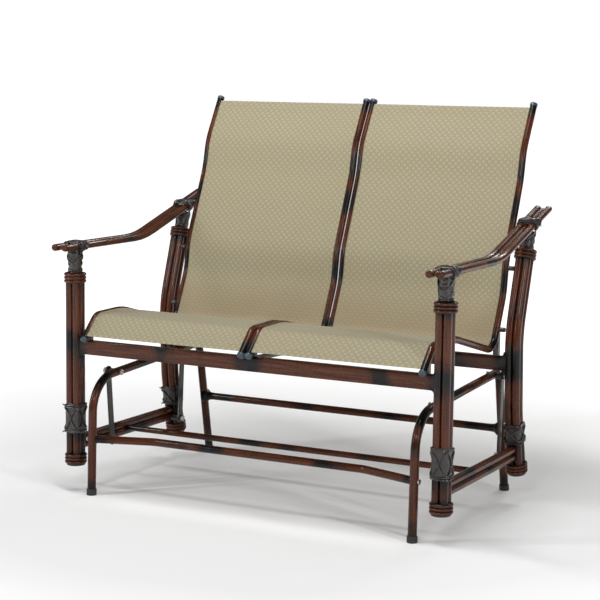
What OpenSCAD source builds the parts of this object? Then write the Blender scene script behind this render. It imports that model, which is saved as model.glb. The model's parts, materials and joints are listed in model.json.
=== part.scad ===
// Two-seat sling glider: a hoop base, four swinging hangers and a seat frame of bundled reeds.
// Millimetres, +Z up, the seat faces -Y, and the origin is the bottom centre of the whole object.

/* [Overall] */
// Depth from the arm tips to the top of the back
overall_d = 750; // [700:1:820]
// Height to the top of the back rails
overall_h = 1024; // [960:1:1100]
// Distance between the left and right post centres
frame_w = 1034; // [920:1:1240]

/* [Posts and arms] */
// Radius of one reed of a post or a stretcher
reed_r = 10.35; // [8:0.05:12]
// Wall of the straight, hollow reeds
reed_wall = 1.8; // [1.2:0.1:3]
// Height of the underside of the posts
post_foot_z = 74; // [60:1:100]
// Height of the top of the front posts
front_post_top = 574; // [520:1:620]
// Place of the front posts ahead of the origin
front_post_y = 300; // [260:1:320]
// Height of the arm's level front stretch
arm_z = 643; // [620:1:680]
// Rise angle of the arm's rear stretch
arm_rise = 17; // [10:1:24]
// Radius of the two thick reeds of an arm
arm_reed_r = 9; // [7:0.5:11]
// Radius of the thin middle reed of an arm
arm_mid_r = 6; // [4:0.5:7]
// Length of a collar of three rings
collar_h = 26; // [20:1:34]
// Radius of one collar ring's round section
ring_r = 4.3; // [3:0.1:5.5]

/* [Seat frame] */
// Height of the front and rear seat rails' flat face
seat_rail_h = 37; // [28:1:46]
// Thickness of the seat rails front to back
seat_rail_t = 20; // [14:1:24]
// Wall of the seat rails
seat_rail_wall = 2; // [1.5:0.5:4]
// Height of the front seat rail's top face
front_rail_top = 401; // [385:1:405]
// Height of the rear seat rail's top face
rear_rail_top = 382; // [360:1:386]
// Height of the side stretchers' middle
stretcher_z = 127.5; // [120:0.5:150]
// Radius of the middle stretcher
mid_stretcher_r = 8; // [6:0.5:9.5]

/* [Slings] */
// Radius of a sling rail
rail_r = 9; // [8:0.5:10]
// Gap between the two rails at the middle of the seat
centre_gap = 3; // [2:0.5:12]
// Height of the seat's front crest
seat_crest_z = 465; // [455:1:475]
// Height of the crease between the seat and the back
seat_crease_z = 398; // [394:1:408]
// Thickness of a sling
sling_t = 3; // [2:0.5:4]
// Length of the spacers that hold the outer rails off the rear posts
spacer_len = 14.3; // [10:0.1:20]

/* [Base] */
// Radius of the base tubes
hoop_r = 11; // [9:0.5:13]
// Height of the hoop's front corner
hoop_front_z = 300; // [290:1:310]
// Height of the hoop's rear corner
hoop_rear_z = 328; // [315:1:335]
// Radius of the hoop's large front bend
hoop_front_bend = 92; // [70:1:95]
// Radius of the hoop's tight rear bend
hoop_rear_bend = 34; // [28:1:36]
// Radius of the crossbars
crossbar_r = 10; // [8:0.5:11]
// Wall of the straight rear crossbar
crossbar_wall = 2; // [1.5:0.5:3]

/* [Hangers] */
// Thickness of a hanger bar
hanger_t = 5; // [4:0.5:7]
// Width of a hanger bar
hanger_w = 20; // [16:1:22]
// Radius of the round eyes at the hanger's ends
eye_r = 13; // [12:0.5:14]
// Radius of the pivot bolts
bolt_r = 5; // [4:0.5:5.5]
// Radius of the hanger bushings
bushing_r = 8; // [7.5:0.5:9]
// Room between a hoop and the side stretcher beside it
pivot_room = 41.7; // [38:0.1:50]
// Distance between the hanger bar's middle and the hoop's face
hanger_offset = 16; // [14:0.5:18]

/* [Hidden] */
$fn = 48;

sides = [-1, 1];
seat_gap = 0.1;
run_gap = 0.05;
open_room = 1.2;
clear_gap = 0.4;

finish_brown = [0.36, 0.16, 0.09];
finish_dark = [0.10, 0.08, 0.08];
finish_steel = [0.45, 0.45, 0.47];
plug_grey = [0.20, 0.23, 0.28];
sling_khaki = [0.62, 0.57, 0.42];

post_x = frame_w / 2;
// Neighbouring reeds sink a little into each other, so a bundle is one piece
lobe_offset = reed_r - 0.15;
bundle_half = lobe_offset + reed_r;
rail_x = post_x - bundle_half - spacer_len - rail_r;
inner_rail_x = centre_gap / 2 + rail_r;
hoop_x = post_x - reed_r - pivot_room - hoop_r;
hanger_x = hoop_x + hoop_r + hanger_offset;
stretcher_face_x = post_x - reed_r;

// Routes in the side plane, as [y, z] corners with a bend radius for each corner
front_post = [[-front_post_y, post_foot_z], [-front_post_y, front_post_top]];
rear_post = [[198, post_foot_z], [162, 235], [151, 440], [219, 650]];
rear_post_bend = [0, 260, 260, 0];
hoop_foot_gap = 3;
hoop = [[-321, 0], [-312, hoop_front_z], [216, hoop_rear_z], [278, 0]];
hoop_bend = [0, hoop_front_bend, hoop_rear_bend, 0];

// The back rails end in plugs that make the object's top and rear corners
rail_top_slope = 60;
plug_len = 9;
plug_r = rail_r + 0.8;
rail_top = [
  overall_d / 2 - plug_len * cos(rail_top_slope) - plug_r * sin(rail_top_slope),
  overall_h - plug_len * sin(rail_top_slope) - plug_r * cos(rail_top_slope)
];
rail_top_run = 130;
sling_rail = [
  [-322, 408], [-268, seat_crest_z - 2], [-152, seat_crest_z], [115, seat_crease_z],
  [180, 535], [192, 615], [280, 820],
  rail_top - rail_top_run * [cos(rail_top_slope), sin(rail_top_slope)], rail_top
];
sling_rail_bend = [0, 35, 200, 45, 150, 150, 200, 150, 0];

// The groove that holds the sling's hem and its spline lies above the middle of the rail
rail_sides = 18;
slot_lift = 3.6;
slot_w = 5;
slot_depth = 5.5;
spline_r = 2.2;
spline_in = rail_r - slot_depth + spline_r + 0.2;
sling_trim = 6;

function angle_of(p, q) = atan2(q[1] - p[1], q[0] - p[0]);
function heading(a) = [cos(a), sin(a)];
function turn_at(route, i) = angle_of(route[i], route[i + 1]) - angle_of(route[i - 1], route[i]);
function is_corner(route, i) = i > 0 && i < len(route) - 1;
function setback(route, bend, i) =
  is_corner(route, i) ? bend[i] * tan(abs(turn_at(route, i)) / 2) : 0;
function trimmed(route, cut) = let (n = len(route) - 1) [
  for (i = [0:n])
    i == 0 ? route[0] + cut * heading(angle_of(route[0], route[1])) :
    i == n ? route[n] - cut * heading(angle_of(route[n - 1], route[n])) : route[i]
];
// Place on a straight stretch of a route at a given height
function at_height(p, q, z) = p + (q - p) * (z - p[1]) / (q[1] - p[1]);
function at_depth(p, q, y) = p + (q - p) * (y - p[0]) / (q[0] - p[0]);

// Stations along a route, as [place, heading, scale]: its ends, and steps round each corner's arc.
// A dome radius adds shrinking stations at both ends, which round them off.
bend_step = 12;
dome_angles = [85, 60, 30];
function corner_stations(route, bend, i) = let (
  before = angle_of(route[i - 1], route[i]),
  bent = turn_at(route, i),
  out = bent > 0 ? before - 90 : before + 90,
  side = bent > 0 ? -1 : 1,
  centre = route[i] - heading(before) * setback(route, bend, i) - bend[i] * heading(out),
  steps = max(1, ceil(abs(bent) / bend_step))
) [
  for (k = [0:steps])
    let (a = bent * k / steps) [centre + bend[i] * heading(out + a), before + a, 1]
];
function dome_stations(p, a, r, way) = [
  for (t = dome_angles) [p + way * r * sin(t) * heading(a), a, cos(t)]
];
function reversed(list) = [for (i = [len(list) - 1:-1:0]) list[i]];
function stations(route, bend, dome = 0) = let (
  n = len(route) - 1,
  first = angle_of(route[0], route[1]),
  last = angle_of(route[n - 1], route[n])
) concat(
  dome > 0 ? dome_stations(route[0], first, dome, -1) : [],
  [[route[0], first, 1]],
  n > 1 ? [for (i = [1:n - 1]) each corner_stations(route, bend, i)] : [],
  [[route[n], last, 1]],
  dome > 0 ? reversed(dome_stations(route[n], last, dome, 1)) : []
);
function ring_at(outline, s) = [
  for (o = outline) [
    o[1] * s[2],
    s[0][0] + o[0] * s[2] * cos(s[1] + 90),
    s[0][1] + o[0] * s[2] * sin(s[1] + 90)
  ]
];

// Pushes an outline along a route: its first number is the route's left side, its second is X
module swept(outline, route, bend, dome = 0) {
  rings = stations(route, bend, dome);
  n = len(outline);
  last = len(rings) - 1;
  polyhedron(
    points = [for (s = rings) each ring_at(outline, s)],
    faces = concat(
      [[for (j = [0:n - 1]) j]],
      [
        for (i = [0:last - 1])
          for (j = [0:n - 1])
            [i * n + j, (i + 1) * n + j, (i + 1) * n + (j + 1) % n, i * n + (j + 1) % n]
      ],
      [[for (j = [n - 1:-1:0]) last * n + j]]
    )
  );
}

function round_outline(r, sides, at = [0, 0]) = [
  for (j = [0:sides - 1]) at + r * heading(360 * j / sides)
];
// A round bar with a groove towards +X or -X for the sling's hem. Its round part runs from one lip
// of the groove round to the other.
function grooved_outline(r, sides, lift, width, depth, toward) = let (
  low_lip = acos((lift - width / 2) / r),
  high_lip = acos((lift + width / 2) / r),
  turn = 360 + high_lip - low_lip,
  groove_floor = [[lift + width / 2, r - depth], [lift - width / 2, r - depth]],
  outline = concat([for (k = [0:sides]) r * heading(low_lip + turn * k / sides)], groove_floor)
) toward > 0 ? outline : [for (p = reversed(outline)) [p[0], -p[1]]];
// Four lobes, one for each reed of a post
lobe_steps = 9;
function lobed_outline(r) = let (half = 135 - acos(lobe_offset / r)) [
  for (q = [0:3])
    let (c = lobe_offset * sqrt(2) * heading(90 * q + 45))
    for (k = [0:lobe_steps - 1])
      c + r * heading(90 * q + 45 - half + 2 * half * k / lobe_steps)
];
function box_outline(lift, u, v) = [
  [lift + u / 2, -v / 2], [lift + u / 2, v / 2], [lift - u / 2, v / 2], [lift - u / 2, -v / 2]
];

// Stands children along a heading: their +Z follows it and their x stays the object's X
module along(p, a) {
  translate([0, p[0], p[1]])
    rotate([a - 90, 0, 0])
      children();
}

module round_bar(r, wall) {
  difference() {
    circle(r);
    circle(r - wall);
  }
}

module reeds(r) {
  for (x = sides)
    for (y = sides)
      translate([x * lobe_offset, y * lobe_offset])
        circle(r);
}

// Four hollow reeds, joined along the middle of the bundle
module bundle() {
  difference() {
    union() {
      reeds(reed_r);
      square(reed_r, center = true);
    }
    reeds(reed_r - reed_wall);
  }
}

// Solid shape of a bundle with room added, for cutting what fits round it
module bundle_cutter(room) {
  reeds(reed_r + room);
  square(2 * reed_r, center = true);
}

// A block of the given height, wider than the object, whose top or bottom face is at a level
cut_h = 100;
module block_below(level) {
  translate([0, 0, level - cut_h / 2])
    cube([3 * frame_w, 3 * overall_d, cut_h], center = true);
}

module rounded_box(w, d, r) {
  square([w, d - 2 * r], center = true);
  square([w - 2 * r, d], center = true);
  for (x = sides)
    for (y = sides)
      translate([x * (w / 2 - r), y * (d / 2 - r)])
        circle(r);
}

// Upper pivots lie on the hoop's top stretch, lower pivots on the lower reed of the side stretcher.
// Their depths hang the seat so that its weight rests level between them, and the bushing of a lower
// rear pivot stays clear of the rear post.
lower_pivot_z = stretcher_z - lobe_offset;
rear_pivot_room = 1.26;
rear_post_face = at_height(rear_post[0], rear_post[1], lower_pivot_z)[0]
  - bundle_half / sin(angle_of(rear_post[0], rear_post[1]));
upper_depths = [-202, 170];
lower_depths = [-184, rear_post_face - rear_pivot_room - bushing_r];
upper_pivots = [for (y = upper_depths) at_depth(hoop[1], hoop[2], y)];
lower_pivots = [for (y = lower_depths) [y, lower_pivot_z]];

small_bolt_r = 3.5;
small_head_r = 7;
small_head_h = 4;
front_bar_z = 146;
front_bar_end = at_height(hoop[0], hoop[1], front_bar_z);
front_bar_set = 52;
front_bar_run = 155;
front_bar_bend = 60;
rear_bar_z = 171;
rear_bar_end = at_height(hoop[2], hoop[3], rear_bar_z);
cap_t = 2;
cap_r = hoop_r + cap_t;
cap_h = 16;

// ---- base ----

module cross_hole(x, p, r) {
  translate([x, p[0], p[1]])
    rotate([0, 90, 0])
      cylinder(r = r, h = 4 * hoop_r, center = true);
}

module hoop_bar(side) {
  color(finish_brown)
    difference() {
      translate([side * hoop_x, 0, 0])
        swept(round_outline(hoop_r, 20), hoop, hoop_bend);
      block_below(hoop_foot_gap);
      for (p = upper_pivots)
        cross_hole(side * hoop_x, p, bolt_r + run_gap);
      cross_hole(side * hoop_x, front_bar_end, small_bolt_r + run_gap);
    }
}

// Solid shapes of the hoop's two legs below their bends, for cutting what butts against them
module hoop_legs(room) {
  for (side = sides)
    translate([side * hoop_x, 0, 0]) {
      along(hoop[0], angle_of(hoop[0], hoop[1]))
        cylinder(r = hoop_r + room, h = hoop_front_z - hoop_front_bend);
      along(hoop[3], angle_of(hoop[3], hoop[2]))
        cylinder(r = hoop_r + room, h = hoop_rear_z - hoop_rear_bend);
    }
}

// The middle of the front crossbar is set back, and its ends bend forward to the front legs
module base_front_crossbar() {
  mid_y = front_bar_end[0] + front_bar_set;
  bar = [
    [-hoop_x, front_bar_end[0]], [front_bar_run - hoop_x, mid_y],
    [hoop_x - front_bar_run, mid_y], [hoop_x, front_bar_end[0]]
  ];
  color(finish_brown)
    difference() {
      translate([0, 0, front_bar_z])
        rotate([-90, -90, 0])
          swept(round_outline(crossbar_r, 20), bar, [0, front_bar_bend, front_bar_bend, 0]);
      hoop_legs(seat_gap);
      for (side = sides)
        cross_hole(side * hoop_x, front_bar_end, small_bolt_r + run_gap);
    }
}

module base_rear_crossbar() {
  color(finish_brown)
    difference() {
      translate([-hoop_x, rear_bar_end[0], rear_bar_end[1]])
        rotate([0, 90, 0])
          linear_extrude(2 * hoop_x)
            round_bar(crossbar_r, crossbar_wall);
      hoop_legs(seat_gap);
    }
}

// A cup round a leg's foot, cut level with the floor below and the leg's cut end inside
module foot_cap(p, a) {
  difference() {
    along(p, a)
      translate([0, 0, -cap_h])
        cylinder(r = cap_r, h = 2 * cap_h);
    intersection() {
      along(p, a)
        translate([0, 0, -cap_h])
          cylinder(r = hoop_r + run_gap, h = 4 * cap_h);
      translate([0, 0, cut_h])
        block_below(hoop_foot_gap - run_gap);
    }
    block_below(0);
  }
}

module base_foot_caps() {
  color(finish_dark)
    for (side = sides)
      translate([side * hoop_x, 0, 0]) {
        foot_cap(hoop[0], angle_of(hoop[0], hoop[1]));
        foot_cap(hoop[3], angle_of(hoop[3], hoop[2]));
      }
}

module bolt(r, head_r, head_h, length) {
  cylinder(r = head_r, h = head_h, $fn = 6);
  translate([0, 0, head_h])
    cylinder(r = r, h = length);
}

module crossbar_bolts() {
  shank = 2 * hoop_r + 1;
  color(finish_steel)
    for (side = sides)
      translate([side * (hoop_x + hoop_r + seat_gap + small_head_h), front_bar_end[0], front_bar_z])
        rotate([0, -90 * side, 0])
          bolt(small_bolt_r, small_head_r, small_head_h, shank);
}

// ---- pivots and hangers ----

bushing_proud = 3;
bushing_reach = hanger_t / 2 + bushing_proud;
upper_bushing_end = hanger_x + bushing_reach;
nut_h = 6;
nut_r = 8.5;
head_h = 5;

module upper_pivot_bolts() {
  start = hoop_x - hoop_r - head_h;
  color(finish_steel)
    for (side = sides)
      for (p = upper_pivots)
        translate([side * start, p[0], p[1]])
          rotate([0, 90 * side, 0])
            bolt(bolt_r, nut_r, head_h, upper_bushing_end + clear_gap + nut_h - start - head_h);
}

module upper_pivot_nuts() {
  color(finish_steel)
    for (side = sides)
      for (p = upper_pivots)
        translate([side * (upper_bushing_end + clear_gap + nut_h / 2), p[0], p[1]])
          rotate([0, 90, 0])
            difference() {
              cylinder(r = nut_r, h = nut_h, center = true, $fn = 6);
              cylinder(r = bolt_r + run_gap, h = 2 * nut_h, center = true);
            }
}

module hanger(side, upper, lower) {
  color(finish_dark)
    translate([side * hanger_x, 0, 0])
      rotate([90, 0, 90])
        linear_extrude(hanger_t, center = true)
          difference() {
            union() {
              for (p = [upper, lower])
                translate(p)
                  circle(eye_r);
              translate(upper)
                rotate(angle_of(upper, lower))
                  translate([0, -hanger_w / 2])
                    square([norm(lower - upper), hanger_w]);
            }
            for (p = [upper, lower])
              translate(p)
                circle(bushing_r + run_gap);
          }
}

module bushing(side, p, from, to, bore) {
  translate([side * (from + to) / 2, p[0], p[1]])
    rotate([0, 90, 0])
      linear_extrude(to - from, center = true)
        difference() {
          circle(bushing_r);
          circle(bore);
        }
}

// Only the front left lower bushing is a close fit: the others keep room for the open pivots
module bushings(side, upper, lower, lower_room) {
  color(finish_dark) {
    bushing(side, upper, hoop_x + hoop_r + clear_gap, upper_bushing_end, bolt_r + run_gap);
    bushing(
      side, lower, hanger_x - bushing_reach, stretcher_face_x - clear_gap, bolt_r + lower_room);
  }
}

lower_head_x = hanger_x - bushing_reach - clear_gap - head_h;
lower_bolt_tip = 2;

module lower_pivot_bolts() {
  color(finish_steel)
    for (side = sides)
      for (p = lower_pivots)
        translate([side * lower_head_x, p[0], p[1]])
          rotate([0, 90 * side, 0])
            bolt(bolt_r, nut_r, head_h, post_x - lower_head_x - head_h + lower_bolt_tip);
}

// ---- posts ----

rear_foot_angle = angle_of(rear_post[0], rear_post[1]);
rear_top_angle = angle_of(rear_post[2], rear_post[3]);

module front_post_bar(side) {
  color(finish_brown)
    translate([side * post_x, -front_post_y, post_foot_z])
      linear_extrude(front_post_top - post_foot_z)
        bundle();
}

module rear_post_bar(side) {
  color(finish_brown)
    translate([side * post_x, 0, 0])
      swept(lobed_outline(reed_r), rear_post, rear_post_bend);
}

// Solid shapes of the posts' straight stretches, for cutting what butts against them
post_cut_h = 150;
module post_cutter(room) {
  for (side = sides)
    translate([side * post_x, 0, 0]) {
      along(front_post[0], 90)
        linear_extrude(post_cut_h)
          bundle_cutter(room);
      along(rear_post[0], rear_foot_angle)
        linear_extrude(post_cut_h)
          bundle_cutter(room);
    }
}

// The collar's sleeve just covers the corners of the bundle
collar_r = lobe_offset * sqrt(2) + reed_r - 0.2;
collar_rings = 3;

// A collar of three rings round the end of a post, drawn from its lower end
module collar() {
  pitch = (collar_h - 2 * ring_r) / (collar_rings - 1);
  difference() {
    union() {
      cylinder(r = collar_r + ring_r / 2, h = collar_h);
      for (i = [0:collar_rings - 1])
        translate([0, 0, ring_r + i * pitch])
          rotate_extrude()
            translate([collar_r, 0])
              circle(ring_r);
    }
    translate([0, 0, -1])
      linear_extrude(collar_h + 2)
        bundle_cutter(seat_gap);
  }
}

module each_post_end(front_p, rear_p, rear_a) {
  for (side = sides)
    translate([side * post_x, 0, 0]) {
      along(front_p, 90)
        children();
      along(rear_p, rear_a)
        children();
    }
}

module top_collars() {
  color(finish_brown)
    each_post_end(front_post[1], rear_post[3], rear_top_angle)
      translate([0, 0, -collar_h])
        collar();
}

module foot_collars() {
  color(finish_brown)
    each_post_end(front_post[0], rear_post[0], rear_foot_angle)
      collar();
}

foot_plug_t = 5;

module foot_plugs() {
  color(finish_dark)
    each_post_end(front_post[0], rear_post[0], rear_foot_angle)
      translate([0, 0, -seat_gap - foot_plug_t])
        cylinder(r = collar_r, h = foot_plug_t);
}

front_lashing = 78;
rear_lashing = 54;
lashing_lift = 7;
lashing_t = 2.5;

// Wound sleeves on the posts just above the side stretchers
module post_lashings() {
  foot = stretcher_z + bundle_half + lashing_lift;
  color(finish_dark)
    for (side = sides)
      translate([side * post_x, 0, 0]) {
        along([-front_post_y, foot], 90)
          lashing(front_lashing);
        along(at_height(rear_post[0], rear_post[1], foot), rear_foot_angle)
          lashing(rear_lashing);
      }
}

module lashing(h) {
  linear_extrude(h)
    difference() {
      rounded_box(2 * (bundle_half + lashing_t), 2 * (bundle_half + lashing_t), reed_r + lashing_t);
      bundle_cutter(seat_gap);
    }
}

// ---- arms ----

arm_front_y = overall_d / 2;
arm_rear_y = 338;
arm_bend_y = 0;
arm = [
  [arm_reed_r - arm_front_y, arm_z], [arm_bend_y, arm_z],
  [arm_rear_y, arm_z + (arm_rear_y - arm_bend_y) * tan(arm_rise)]
];
arm_bend = [0, 300, 0];
arm_pitch = arm_reed_r + arm_mid_r + 2 * seat_gap;
mid_reed_setback = 6;

module arm_reed(x, r, cut) {
  translate([x, 0, 0])
    swept(round_outline(r, 16), trimmed(arm, cut), arm_bend, r);
}

module arm_reeds(side) {
  color(finish_brown)
    translate([side * post_x, 0, 0]) {
      for (x = sides)
        arm_reed(x * arm_pitch, arm_reed_r, 0);
      arm_reed(0, arm_mid_r, mid_reed_setback);
    }
}

function arm_height(y) = arm_z + (y - arm_bend_y) * tan(arm_rise);
spigot_r = 8;
neck_r = 15;
neck_rings = 4;
wrap_t = 3;
wrap_len = 30;
// The arm passes over the front post's axis and the rear post's axis, which give the neck lengths.
// The rear neck leans, so it is a little shorter than the room above its post.
lean_fit = 0.97;
front_neck = arm_z - arm_reed_r - wrap_t - front_post_top;
rear_neck = lean_fit * (
  arm_height(rear_post[3][0]) - rear_post[3][1] - (arm_reed_r + wrap_t) / cos(arm_rise));

// A sleeve wound in four swelling turns round its spigot
module neck(h) {
  turn_r = h / 9;
  rotate_extrude()
    intersection() {
      union() {
        square([neck_r, h]);
        for (i = [0:neck_rings - 1])
          translate([neck_r - 1, h * (i + 0.5) / neck_rings])
            circle(turn_r);
      }
      translate([spigot_r + seat_gap, seat_gap])
        square([neck_r + turn_r, h - 2 * seat_gap]);
    }
}

module arm_necks() {
  color(finish_dark)
    for (side = sides)
      translate([side * post_x, 0, 0]) {
        along(front_post[1], 90)
          neck(front_neck);
        along(rear_post[3], rear_top_angle)
          neck(rear_neck);
      }
}

module arm_spigots() {
  color(finish_steel)
    for (side = sides)
      translate([side * post_x, 0, 0]) {
        along(front_post[1], 90)
          spigot(front_neck);
        along(rear_post[3], rear_top_angle)
          spigot(rear_neck);
      }
}

// A steel pin that joins the post to the arm inside its wrapped neck
module spigot(h) {
  translate([0, 0, seat_gap])
    cylinder(r = spigot_r, h = h - 2 * seat_gap);
}

// A wound band round the three reeds of an arm
module wrap_at(p, a) {
  along(p, a)
    translate([0, 0, -wrap_len / 2])
      linear_extrude(wrap_len)
        difference() {
          rounded_box(
            2 * (arm_pitch + arm_reed_r + wrap_t), 2 * (arm_reed_r + wrap_t), arm_reed_r);
          for (x = sides)
            translate([x * arm_pitch, 0])
              circle(arm_reed_r + seat_gap);
          square([2 * arm_pitch, 2 * (arm_mid_r + seat_gap) + wrap_t], center = true);
        }
}

rear_wrap_y = rear_post[3][0] + 16;

module arm_wraps() {
  color(finish_dark)
    for (side = sides)
      translate([side * post_x, 0, 0]) {
        wrap_at([-front_post_y, arm_z], 0);
        wrap_at([rear_wrap_y, arm_height(rear_wrap_y)], arm_rise);
      }
}

// ---- seat frame ----

rail_edge_r = 3;

module box_bar(h, t, wall) {
  difference() {
    rounded_box(h, t, rail_edge_r);
    square([h - 2 * wall, t - 2 * wall], center = true);
  }
}

weld_t = 4;
weld_edge = 5;
weld_side = 2;

// A flat rail from post to post with a weld plate at each end
module seat_rail(y, top) {
  reach = post_x - bundle_half - seat_gap;
  color(finish_brown)
    translate([0, y, top - seat_rail_h / 2])
      rotate([0, 90, 0]) {
        linear_extrude(2 * reach, center = true)
          box_bar(seat_rail_h, seat_rail_t, seat_rail_wall);
        for (side = sides)
          translate([0, 0, side * (reach - weld_t / 2)])
            linear_extrude(weld_t, center = true)
              rounded_box(seat_rail_h + 2 * weld_edge, seat_rail_t + 2 * weld_side, weld_edge);
      }
}

// The rear rail lies behind the line of the rear posts' lower stretch, where the posts bend back
rear_rail_set = 14;
rear_rail_y = at_height(rear_post[0], rear_post[1], rear_rail_top)[0] + rear_rail_set;

module seat_front_rail() {
  seat_rail(-front_post_y, front_rail_top);
}

module seat_rear_rail() {
  seat_rail(rear_rail_y, rear_rail_top);
}

support_w = 26;
support_t = 8;
support_drop = 4;

// A flat bar from rail to rail under the middle of the seat, let in behind the front rail's top
module centre_support() {
  front = [-front_post_y + seat_rail_t / 2 + clear_gap, front_rail_top - support_t / 2 - support_drop];
  rear = [rear_rail_y - seat_rail_t / 2 - clear_gap, rear_rail_top - support_t / 2 - support_drop];
  a = angle_of(front, rear);
  color(finish_dark)
    along(front, a)
      translate([-support_w / 2, -support_t / 2, 0])
        cube([support_w, support_t, norm(rear - front)]);
}

saddle_w = 14;
saddle_front_h = 24;
saddle_rear_h = 60;
saddle_set = 1;

module saddle(y, z, h) {
  translate([-saddle_w / 2, y - saddle_w / 2, z + seat_gap])
    cube([saddle_w, saddle_w, h]);
}

// Blocks that fill the wedge between a seat rail's top face and each sling rail above it
module rail_saddles() {
  color(finish_dark)
    for (x = [-rail_x, -inner_rail_x, inner_rail_x, rail_x])
      translate([x, 0, 0]) {
        difference() {
          saddle(saddle_set - front_post_y, front_rail_top, saddle_front_h);
          saddle_cut(sling_rail[0], sling_rail[1]);
        }
        difference() {
          saddle(rear_rail_y, rear_rail_top, saddle_rear_h);
          saddle_cut(sling_rail[3], sling_rail[4]);
        }
      }
}

// The rail's own shape and all that lies above it
module saddle_cut(p, q) {
  along(p, angle_of(p, q))
    linear_extrude(norm(q - p) + 2 * saddle_w) {
      circle(rail_r + seat_gap);
      translate([-saddle_w, -2 * cut_h])
        square([2 * saddle_w, 2 * cut_h]);
    }
}

module stretcher_bars() {
  for (z = sides)
    translate([z * lobe_offset, 0])
      difference() {
        circle(reed_r);
        circle(reed_r - reed_wall);
      }
}

module side_stretcher(side) {
  rear_y = at_height(rear_post[0], rear_post[1], stretcher_z)[0];
  color(finish_brown)
    difference() {
      translate([side * post_x, -front_post_y, stretcher_z])
        rotate([-90, 90, 0])
          linear_extrude(front_post_y + rear_y)
            stretcher_bars();
      post_cutter(seat_gap);
      for (p = lower_pivots)
        translate([side * (post_x - 2 * reed_r), p[0], p[1]])
          rotate([0, 90 * side, 0])
            cylinder(r = bolt_r + run_gap, h = 2 * reed_r + 3);
    }
}

mid_stretcher_y = -70;
// Height of the tools that cope the middle stretcher to the side stretchers
cope_h = 60;
cope_in = 6;

module middle_stretcher() {
  color(finish_brown)
    difference() {
      translate([0, mid_stretcher_y, stretcher_z])
        rotate([0, 90, 0])
          linear_extrude(2 * post_x, center = true)
            round_bar(mid_stretcher_r, reed_wall);
      for (side = sides)
        for (z = sides)
          translate([side * post_x, mid_stretcher_y, stretcher_z + z * lobe_offset])
            rotate([90, 0, 0])
              cylinder(r = reed_r + seat_gap, h = cope_h, center = true);
      for (side = sides)
        translate([side * (post_x + cope_in), mid_stretcher_y, stretcher_z])
          cube([4 * cope_in, cope_h, cope_h], center = true);
    }
}

// ---- slings ----

module sling_rail_bar(x, toward) {
  color(finish_brown)
    translate([x, 0, 0])
      swept(
        grooved_outline(rail_r, rail_sides, slot_lift, slot_w, slot_depth, toward),
        sling_rail, sling_rail_bend);
}

module rail_end_plugs() {
  last = len(sling_rail) - 1;
  color(plug_grey)
    for (x = [-rail_x, -inner_rail_x, inner_rail_x, rail_x])
      translate([x, 0, 0]) {
        along(rail_top, rail_top_slope)
          translate([0, 0, seat_gap])
            cylinder(r = min(plug_r, plug_room(x)), h = plug_len - seat_gap);
        along(sling_rail[0], angle_of(sling_rail[0], sling_rail[1]))
          translate([0, 0, seat_gap - plug_len])
            cylinder(r = min(plug_r, plug_room(x)), h = plug_len - 2 * seat_gap);
      }
}

// A plug at the middle of the seat leaves room for the one beside it
function plug_room(x) = abs(x) - seat_gap;

sling_mid_x = (rail_x + inner_rail_x) / 2;
sling_half = (rail_x - inner_rail_x) / 2 - rail_r - clear_gap;

module sling_sheet(side) {
  color(sling_khaki)
    translate([side * sling_mid_x, 0, 0])
      swept(
        box_outline(slot_lift, sling_t, 2 * sling_half),
        trimmed(sling_rail, sling_trim), sling_rail_bend);
}

module splines(side) {
  color(plug_grey)
    for (end = sides)
      translate([side * sling_mid_x + end * (rail_x - inner_rail_x) / 2, 0, 0])
        swept(
          round_outline(spline_r, 8, [slot_lift, -end * spline_in]),
          trimmed(sling_rail, sling_trim), sling_rail_bend);
}

spreader_r = 5;
spreader_back = 3.6;
spreader_places = [
  (sling_rail[1] + sling_rail[2]) / 2,
  (sling_rail[6] + sling_rail[7]) / 2
];
spreader_angles = [angle_of(sling_rail[1], sling_rail[2]), angle_of(sling_rail[6], sling_rail[7])];

// Bars that hold each sling's two rails apart, behind the fabric
module sling_spreaders() {
  color(finish_dark)
    difference() {
      for (side = sides)
        for (i = [0, 1])
          along(spreader_places[i], spreader_angles[i])
            translate([side * sling_mid_x, spreader_back, 0])
              rotate([0, 90, 0])
                cylinder(r = spreader_r, h = rail_x - inner_rail_x, center = true);
      for (x = [-rail_x, -inner_rail_x, inner_rail_x, rail_x])
        for (i = [0, 1])
          along(spreader_places[i], spreader_angles[i])
            translate([x, 0, 0])
              cylinder(r = rail_r + seat_gap, h = 12 * spreader_r, center = true);
    }
}

spacer_r = 6;
spacer_heights = [450, 602];
spacer_places = [
  at_height(sling_rail[3], sling_rail[4], spacer_heights[0]),
  at_height(sling_rail[4], sling_rail[5], spacer_heights[1])
];

module at_spacers() {
  for (side = sides)
    for (p = spacer_places)
      translate([side * (rail_x + rail_r + spacer_len / 2), p[0], p[1]])
        rotate([0, 90, 0])
          linear_extrude(spacer_len - 2 * seat_gap, center = true)
            children();
}

// Spacers stand between the outer rails and the rear posts, each round a stud
module rail_spacers() {
  color(finish_dark)
    at_spacers()
      difference() {
        circle(spacer_r);
        circle(small_bolt_r + run_gap);
      }
}

module spacer_studs() {
  color(finish_steel)
    at_spacers()
      circle(small_bolt_r);
}

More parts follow.
